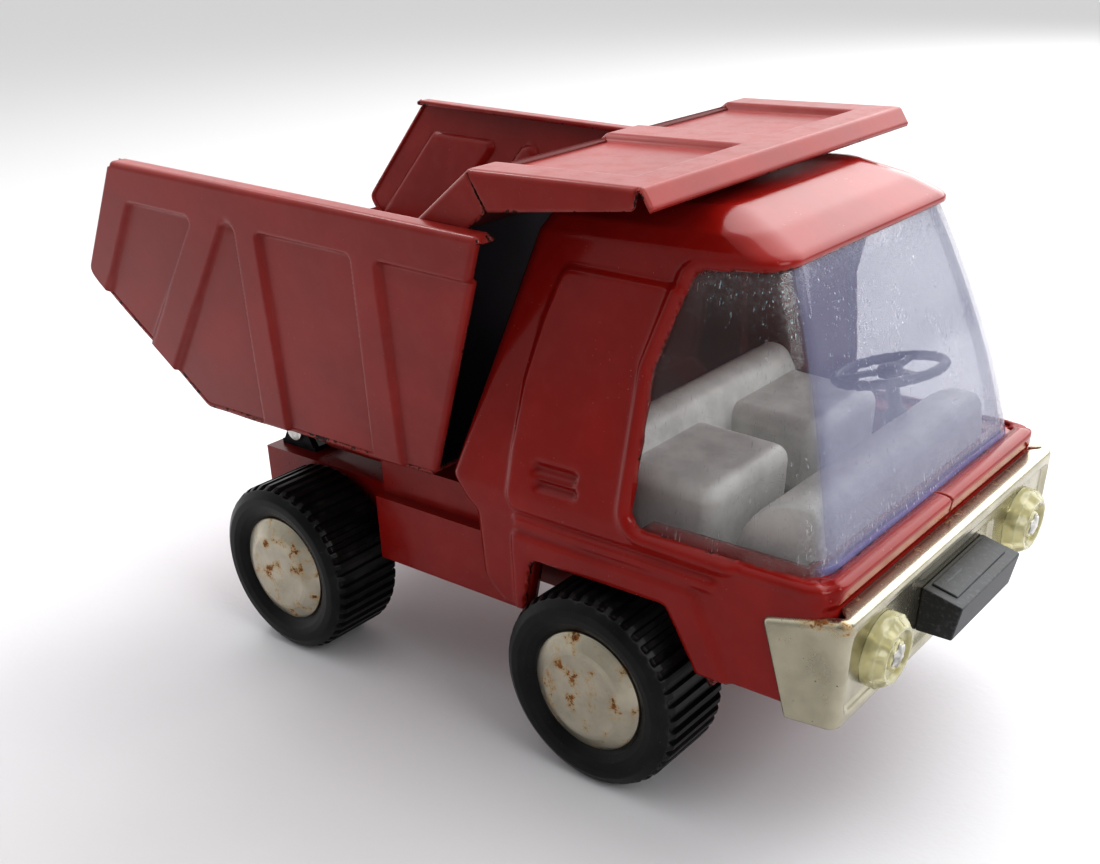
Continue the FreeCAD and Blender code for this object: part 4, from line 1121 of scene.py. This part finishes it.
BUMPER_HALF = 33.6
BUMPER_TOP = (72.4, 37.3)
BUMPER_LOW = (70.9, 21.5)
BUMPER_SIDE_TOP = (60.0, 34.6)
BUMPER_SIDE_LOW = (63.5, 21.0)
LAMP_Y = 22.8
LAMP_Z = 28.8
BUMPER_LEAN = math.atan2(BUMPER_TOP[0] - BUMPER_LOW[0], BUMPER_TOP[1] - BUMPER_LOW[1])
BUMPER_RECESS = 0.6
BUMPER_FACE = ((-31.7, 1.9), (31.7, 1.9), (31.7, 13.6), (-31.7, 13.6))
BUMPER_BAY = ((-13.6, 2.6), (13.6, 2.6), (12.4, 11.4), (-12.4, 11.4))


def bumper_part():
    """Face, wrapped ends and top ledge in one pressing with a raised border."""
    radius, roll, half = 1.7, 1.1, BUMPER_HALF
    side = spaced(1.0, 0.03, 0.09, 0.012)
    turn = np.radians(np.linspace(-90, 0, 11))[1:]
    around = np.stack([np.cos(turn), np.sin(turn), 0 * turn], 1)
    face_y = np.linspace(radius - half, 0, 82)[1:]

    def right_edge(side_end, face):
        """Places along an edge, from the right side's rear round the corner to the middle."""
        rear = np.array([side_end[0], -half, side_end[1]])
        corner = np.array([face[0] - radius, -half, face[1]])
        flat = np.stack([0 * face_y + face[0], face_y, 0 * face_y + face[1]], 1)
        return np.vstack([rear + (corner - rear) * side[:, None],
                          corner + [0, radius, 0] + around * radius, flat])

    low, top = right_edge(BUMPER_SIDE_LOW, BUMPER_LOW), right_edge(BUMPER_SIDE_TOP, BUMPER_TOP)
    normal = np.vstack([[(0, -1, 0)] * len(side), around, [(1, 0, 0)] * len(face_y)])
    flip = np.array([1, -1, 1])
    low, top, normal = (np.vstack([values, values[-2::-1] * flip]) for values in (low, top, normal))
    up = top - low
    high = np.linalg.norm(up, axis=1)
    up /= high[:, None]
    rise = spaced(1.0, 0.024, 0.08, 0.01)
    sheet = low[None] + (up * (high - roll)[:, None])[None] * rise[:, None, None]
    centre = top - roll * up - roll * normal
    rows = [sheet]
    for angle in np.linspace(0, math.pi / 2, 9)[1:]:
        rows.append((centre + roll * (normal * math.cos(angle) + up * math.sin(angle)))[None])
    shelf = rows[-1][0]
    wide = 0.45 + 1.4 * smooth((half - radius - np.abs(low[:, 1])) / 2.0)
    ledge = np.where(normal[:, 0] > 0.999, wide, 0.4)
    for reach in (0.25, 0.5, 0.75, 1.0):
        rows.append((shelf - normal * (ledge * reach)[:, None])[None])
    points = np.concatenate(rows)
    outward = slopes(points, False)
    across = np.repeat(points[:1, :, 1], len(points), 0)
    climb = np.zeros(points.shape[:2])
    climb[:len(rise)] = rise[:, None] * (high - roll)
    climb[len(rise):] = 99.0
    ahead = smooth((outward[..., 0] - 0.8) / 0.15)
    face = pressed(depth_in(BUMPER_FACE, across, climb, 1.6), 0.9)
    bay = pressed(depth_in(BUMPER_BAY, across, climb, 1.0), 0.6)
    height = -ahead * (BUMPER_RECESS * face + 0.4 * bay)
    height -= turned_in(climb, 0.6)
    reach = np.concatenate([side, np.full(points.shape[1] - 2 * len(side), 1.0), side[::-1]]) * 9.0
    height -= turned_in(reach, 0.7)[None]
    points = points + outward * height[..., None]
    return points.reshape(-1, 3), grid_faces(*points.shape[:2])


def bumper_rust(x, y, z):
    """Where rust comes through: the ledge's joint with the cab, worst near the middle and the ends."""
    ledge = smooth((z - 36.4) / 0.6)
    joint = smooth((70.6 - x) / 0.8) * smooth((x - 66) / 3)
    ends = smooth((np.abs(y) - 31.5) / 1.5) * smooth((z - 34.5) / 1.5)
    spots = 0.35 + 0.65 * np.exp(-((y - 4) / 7.0) ** 2) + 0.5 * np.exp(-((np.abs(y) - 30) / 4.0) ** 2)
    return np.clip(ledge * joint * spots + 0.75 * ends, 0, 1)


def on_lamp(part, side):
    """Places a part turned about Y on the bumper's face at a lamp."""
    points, faces = part
    axis = np.array([math.cos(BUMPER_LEAN), 0, -math.sin(BUMPER_LEAN)])
    up = np.array([math.sin(BUMPER_LEAN), 0, math.cos(BUMPER_LEAN)])
    share = (LAMP_Z - BUMPER_LOW[1]) / (BUMPER_TOP[1] - BUMPER_LOW[1])
    base = np.array([BUMPER_LOW[0] + (BUMPER_TOP[0] - BUMPER_LOW[0]) * share, LAMP_Y, LAMP_Z])
    base = base - axis * BUMPER_RECESS
    turned = points @ np.stack([np.cross(axis, up), axis, up]) + base
    return (turned, faces) if side > 0 else mirrored((turned, faces))


def lens_part():
    """A thick disc with a faceted bevel and a sunk ring round the rivet."""
    profile = rounded_path([
        (5.15, 0.05), (5.2, 1.7), (4.9, 2.0), (4.35, 2.75), (4.0, 3.0), (3.5, 2.95), (3.1, 2.4),
        (2.2, 2.3), (1.9, 2.75), (1.0, 2.85), (0.95, 0.4)], 0.15, 0.3, 3)

    def facets(radius, height, turn):
        flats = np.abs(np.sin(turn * 5)) ** 1.5
        return -0.38 * flats * smooth((radius - 3.8) / 0.6) * smooth((height - 0.8) / 0.8)

    return lathe(profile, 100, facets)


def lamp_rivet_part():
    """The rivet's head, cut into a small star that holds the lens."""
    profile = [(0.88, -0.9), (0.88, 2.6), (1.55, 2.72), (1.5, 2.95), (0.9, 3.2), (0.45, 3.35), (0.0, 3.38)]

    def petals(radius, height, turn):
        return 0.28 * np.cos(turn * 6) * smooth((height - 2.6) / 0.1) * smooth(radius / 1.2)

    return lathe(rounded_path(profile, 0.1, 0.15, 3), 60, petals)


def block_part():
    """The dark block, with a low pad on its top."""
    base_x = BUMPER_LOW[0] - BUMPER_RECESS - 0.4
    top, low = 31.6, 24.8
    lean = (BUMPER_TOP[0] - BUMPER_LOW[0]) / (BUMPER_TOP[1] - BUMPER_LOW[1])
    top_x, low_x = base_x + (top - BUMPER_LOW[1]) * lean, base_x + (low - BUMPER_LOW[1]) * lean
    nose = 76.72
    outline = [(low_x, low), (nose - 1.3, low), (nose, 30.1), (top_x, top)]
    pad = [(top_x + 0.6, 31.2), (nose - 1.5, 30.2), (nose - 1.5, 30.75), (top_x + 0.6, 31.72)]
    return joined([prism(outline, -9.9, 9.9, 1), prism(pad, -8.2, 8.2, 1)])


def add_value(made, name, values_at):
    """Writes a value at each vertex, worked out from its place in millimetres."""
    mesh = made.data
    place = np.empty(len(mesh.vertices) * 3)
    mesh.vertices.foreach_get("co", place)
    place = place.reshape(-1, 3) / MM - ORIGIN
    values = values_at(place[:, 0], place[:, 1], place[:, 2])
    mesh.attributes.new(name, "FLOAT", "POINT").data.foreach_set("value", values.astype(np.float32))


# Operators

class TRUCK_OT_wheels(bpy.types.Operator):
    """Four ribbed tyres and their domed caps"""
    bl_idname = "truck.wheels"
    bl_label = "Wheels"
    bl_options = {"REGISTER", "UNDO"}

    def execute(self, context):
        for end in ENDS:
            for side, sign in SIDES:
                body = f"{end}_wheelset"
                piece(f"ribbed_tyre_{end}_{side}", on_axle(tyre_part(), end, sign), body, "tyre_rubber",
                      finish_for("tyre_black"), [f"tyre_{end}_{side}"], sharp=50)
                piece(f"domed_cap_{end}_{side}", on_axle(cap_part(), end, sign), body, "hub_cap_metal",
                      finish_for("cap_nickel"), [f"wheel_cap_{end}_{side}"])
        return {"FINISHED"}


class TRUCK_OT_chassis(bpy.types.Operator):
    """Finishes of the chassis, side panels, axles, hinge and rivets"""
    bl_idname = "truck.chassis"
    bl_label = "Chassis"
    bl_options = {"REGISTER", "UNDO"}

    def execute(self, context):
        for node in ("chassis_frame", "side_skirt_left", "side_skirt_right", "cab_crossbar_front",
                     "cab_crossbar_rear"):
            finish_node(node, finish_for("chassis_enamel"), 0.3)
        for node in ("axle_front", "axle_rear", "hinge_pin"):
            finish_node(node, finish_for("bright_steel"), 0.15)
        finish_node("hinge_bracket", finish_for("black_steel"), 0.3)
        for node in ("bed_hinge_channel", "bed_rivet_1", "bed_rivet_2", "bed_rivet_3", "bed_rivet_4"):
            finish_node(node, finish_for("chassis_enamel"), 0.2)
        return {"FINISHED"}


class TRUCK_OT_bed(bpy.types.Operator):
    """Embossed sides, floor with its tail ramp, bulkhead and canopy"""
    bl_idname = "truck.bed"
    bl_label = "Bed"
    bl_options = {"REGISTER", "UNDO"}

    def execute(self, context):
        sheet = in_mm("sheet")
        red = finish_for("bed_enamel")
        right = bed_side_part()
        for side, sign in SIDES:
            part = right if sign < 0 else mirrored(right)
            piece(f"embossed_side_{side}", part, "dump_bed", "red_enamel", red, [f"bed_side_{side}"],
                  sheet=sheet)
        piece("floor_and_ramp", bed_floor_part(), "dump_bed", "red_enamel", red, ["bed_floor"],
              sheet=FLOOR_SHEET)
        bulkhead = piece("bulkhead", bulkhead_part(), "dump_bed", "red_enamel", red, sheet=sheet)
        bulkhead.data.materials.append(finish_for("bulkhead_front"))
        bulkhead.modifiers["sheet"].material_offset = 1
        piece("canopy", canopy_part(), "dump_bed", "red_enamel", red, ["bed_front_panel"], sheet=sheet)
        return {"FINISHED"}


class TRUCK_OT_cab(bpy.types.Operator):
    """Cab pressing with its door, belt strip, arch band, visor and the shelf under the glazing"""
    bl_idname = "truck.cab"
    bl_label = "Cab"
    bl_options = {"REGISTER", "UNDO"}

    def execute(self, context):
        lip = arch_lip_part()
        part = joined([cab_shell_part(), sill_part(), lip, mirrored(lip)])
        piece("cab_pressing", part, "chassis", "red_enamel", finish_for("cab_enamel"), ["cab_shell"],
              sheet=in_mm("sheet"))
        return {"FINISHED"}


class TRUCK_OT_glazing(bpy.types.Operator):
    """The clear moulding that wraps round the front of the cab"""
    bl_idname = "truck.glazing"
    bl_label = "Glazing"
    bl_options = {"REGISTER", "UNDO"}

    def execute(self, context):
        made = piece("wraparound_glazing", glazing_part(), "chassis", "clear_glazing", finish_for("glazing"),
                     ["windshield"], sheet=in_mm("glass"))
        add_value(made, "front", glass_front)
        add_value(made, "scuff", glass_scuff)
        return {"FINISHED"}


class TRUCK_OT_interior(bpy.types.Operator):
    """White seat and dashboard moulding, and the dark steering wheel on its column"""
    bl_idname = "truck.interior"
    bl_label = "Interior"
    bl_options = {"REGISTER", "UNDO"}

    def execute(self, context):
        white = finish_for("cabin_white")
        moulded = ("chassis", "white_plastic", white)
        piece("cabin_tub", joined(tub_parts()), *moulded, ["cab_interior"], bevel=0.4)
        for side, sign in SIDES:
            piece(f"seat_{side}", seat_part(sign), *moulded, bevel=2.6, segments=5)
        piece("seat_back", seat_back_part(), *moulded, bevel=2.2, segments=5)
        piece("dash_hood", dash_part(), *moulded, bevel=1.2)
        wheel = steering_parts()
        dark = ("chassis", "dark_plastic", finish_for("wheel_dark"))
        piece("steering_rim", joined(wheel[:-1]), *dark, ["steering_wheel"], sharp=50)
        piece("steering_stem", wheel[-1], *dark, ["steering_column"], sharp=50)
        return {"FINISHED"}


class TRUCK_OT_bumper(bpy.types.Operator):
    """Plated bumper, dark block, and two clear yellow lamps with their rivets"""
    bl_idname = "truck.bumper"
    bl_label = "Bumper"
    bl_options = {"REGISTER", "UNDO"}

    def execute(self, context):
        made = piece("wrapped_bumper", bumper_part(), "chassis", "plated_steel", finish_for("bumper_nickel"),
                     ["front_bumper"], sheet=in_mm("sheet"))
        add_value(made, "rust", bumper_rust)
        piece("nose_block", block_part(), "chassis", "black_plastic", finish_for("block_black"),
              ["bumper_block"], bevel=0.4)
        for side, sign in SIDES:
            piece(f"lamp_lens_{side}", on_lamp(lens_part(), sign), "chassis", "amber_lens",
                  finish_for("lamp_lens"), [f"headlamp_{side}"], sharp=22)
            piece(f"lamp_star_{side}", on_lamp(lamp_rivet_part(), sign), "chassis", "bare_steel",
                  finish_for("bright_steel"), [f"headlamp_rivet_{side}"], sharp=40)
        return {"FINISHED"}


# Stage

TABLE_REACH = 3.0
CAMERA_LENS = 43.2
CAMERA_PLACE = np.array([135.33, -160.14, 119.25])
CAMERA_TURN = (130.6, -21.78, -2.99)
LAMP_AIM = Vector((0.01, 0, 0.04))
SKY_AIM = Vector((-0.55, 0.62, 0.56))


def table_finish():
    """A pale cloth, a little greyer far behind the truck, with painted shadow darkening it near the camera.
    """
    f = Finish("pale_table")
    place = f.coordinates()
    far = (place.part(0) * -0.65 + place.part(1) * 0.76).rise(250.0, 330.0)
    weave = f.noise(1.2, 3, (1, 1, 1), 3)
    cloud = f.noise(90, 3, shift=8)
    near_tone = f.mix(cloud.rise(0.3, 0.7), (0.74, 0.74, 0.76, 1), (0.68, 0.68, 0.70, 1))
    # Painted shadow: the cloth darkens towards the camera.
    close = (place.part(0) * 0.35 + place.part(1) * -0.94).rise(10.0, 170.0)
    base = f.mix(far, near_tone, (0.60, 0.60, 0.60, 1))
    base = f.mix(close * 0.75, base, (0.36, 0.335, 0.32, 1))
    return f.done(f.coat_of(Base_Color=base, Roughness=0.85, Normal=f.bump(weave, 0.12, 0.3)))


def sky_light(world):
    """Even soft light, brighter from above and behind the truck than from in front of it."""
    world.use_nodes = True
    f = Finish("soft_light", world.node_tree)
    place = f.node("ShaderNodeTexCoord", None, None, "Generated")
    aim = SKY_AIM.normalized()
    facing = place.part(0) * aim.x + place.part(1) * aim.y + place.part(2) * aim.z
    horizon = place.part(2).rise(0.30, 0.05) * facing.rise(0.6, -0.2)
    glow = facing.rise(-0.35, 0.95) * 1.05 + 0.24 + horizon * 0.28
    background = f.node("ShaderNodeBackground", None, {"Color": (1, 1, 1, 1), "Strength": glow})
    f.node("ShaderNodeOutputWorld", None, {"Surface": background})


def lamp(name, place, size, power, tone=(1, 1, 1)):
    """A square soft light aimed at the truck."""
    light = bpy.data.lights.new(name, "AREA")
    light.size = size
    light.energy = power
    light.color = tone
    made = bpy.data.objects.new(name, light)
    made.location = place
    made.rotation_euler = (LAMP_AIM - Vector(place)).to_track_quat("-Z", "Y").to_euler()
    made.visible_camera = False
    bpy.context.scene.collection.objects.link(made)


class TRUCK_OT_stage(bpy.types.Operator):
    """Pale table, soft light and camera"""
    bl_idname = "truck.stage"
    bl_label = "Stage"
    bl_options = {"REGISTER", "UNDO"}

    def execute(self, context):
        mesh = bpy.data.meshes.new("table")
        corners = [(x * TABLE_REACH, y * TABLE_REACH, 0) for x, y in ((-1, -1), (1, -1), (1, 1), (-1, 1))]
        mesh.from_pydata(corners, [], [(0, 1, 2, 3)])
        table = bpy.data.objects.new("table", mesh)
        bpy.context.scene.collection.objects.link(table)
        mesh.materials.append(table_finish())

        scene = context.scene
        scene.view_settings.view_transform = "Standard"
        scene.view_settings.look = "Medium High Contrast"
        world = bpy.data.worlds.new("soft_room")
        scene.world = world
        sky_light(world)
        lamp("key", (0.14, 0.52, 0.52), 0.95, 6.3)
        lamp("glint", (-0.40, 0.04, 0.55), 0.1, 0.6)
        lamp("fill", (0.6, -0.1, 0.42), 0.35, 1.5)

        camera = bpy.data.cameras.new("view")
        camera.lens = CAMERA_LENS
        camera.clip_start = 0.005
        eye = bpy.data.objects.new("view", camera)
        # Yaw from +X, pitch up from level and roll
        yaw, pitch, roll = (math.radians(angle) for angle in CAMERA_TURN)
        ahead = Vector((math.cos(yaw) * math.cos(pitch), math.sin(yaw) * math.cos(pitch), math.sin(pitch)))
        right = Vector((math.sin(yaw), -math.cos(yaw), 0))
        up = right.cross(ahead)
        across = right * math.cos(roll) + up * math.sin(roll)
        upward = up * math.cos(roll) - right * math.sin(roll)
        turn = Matrix((across, upward, -ahead)).transposed().to_4x4()
        place = Vector(CAMERA_PLACE + ORIGIN) * MM
        eye.matrix_world = Matrix.Translation(place) @ turn
        scene.collection.objects.link(eye)
        scene.camera = eye
        return {"FINISHED"}


MAKERS = (TRUCK_OT_stage, TRUCK_OT_chassis, TRUCK_OT_wheels, TRUCK_OT_bed, TRUCK_OT_cab, TRUCK_OT_interior,
          TRUCK_OT_glazing, TRUCK_OT_bumper)


class TRUCK_PT_panel(bpy.types.Panel):
    """Sizes, colours and the pieces to build"""
    bl_idname = "TRUCK_PT_panel"
    bl_label = "Dump truck"
    bl_space_type = "VIEW_3D"
    bl_region_type = "UI"
    bl_category = "Dump truck"

    def draw(self, context):
        for group in (context.scene.truck_sizes, context.scene.truck_colours):
            box = self.layout.box()
            for name in group.__annotations__:
                box.prop(group, name)
        for maker in MAKERS:
            self.layout.operator(maker.bl_idname)


CLASSES = (TruckSizes, TruckColours) + MAKERS + (TRUCK_PT_panel,)


def register():
    for made in CLASSES:
        bpy.utils.register_class(made)
    bpy.types.Scene.truck_sizes = bpy.props.PointerProperty(type=TruckSizes)
    bpy.types.Scene.truck_colours = bpy.props.PointerProperty(type=TruckColours)


def unregister():
    del bpy.types.Scene.truck_colours
    del bpy.types.Scene.truck_sizes
    for made in reversed(CLASSES):
        bpy.utils.unregister_class(made)


def main():
    register()
    for maker in MAKERS:
        group, name = maker.bl_idname.split(".")
        getattr(getattr(bpy.ops, group), name)()


if __name__ == "__main__":
    main()
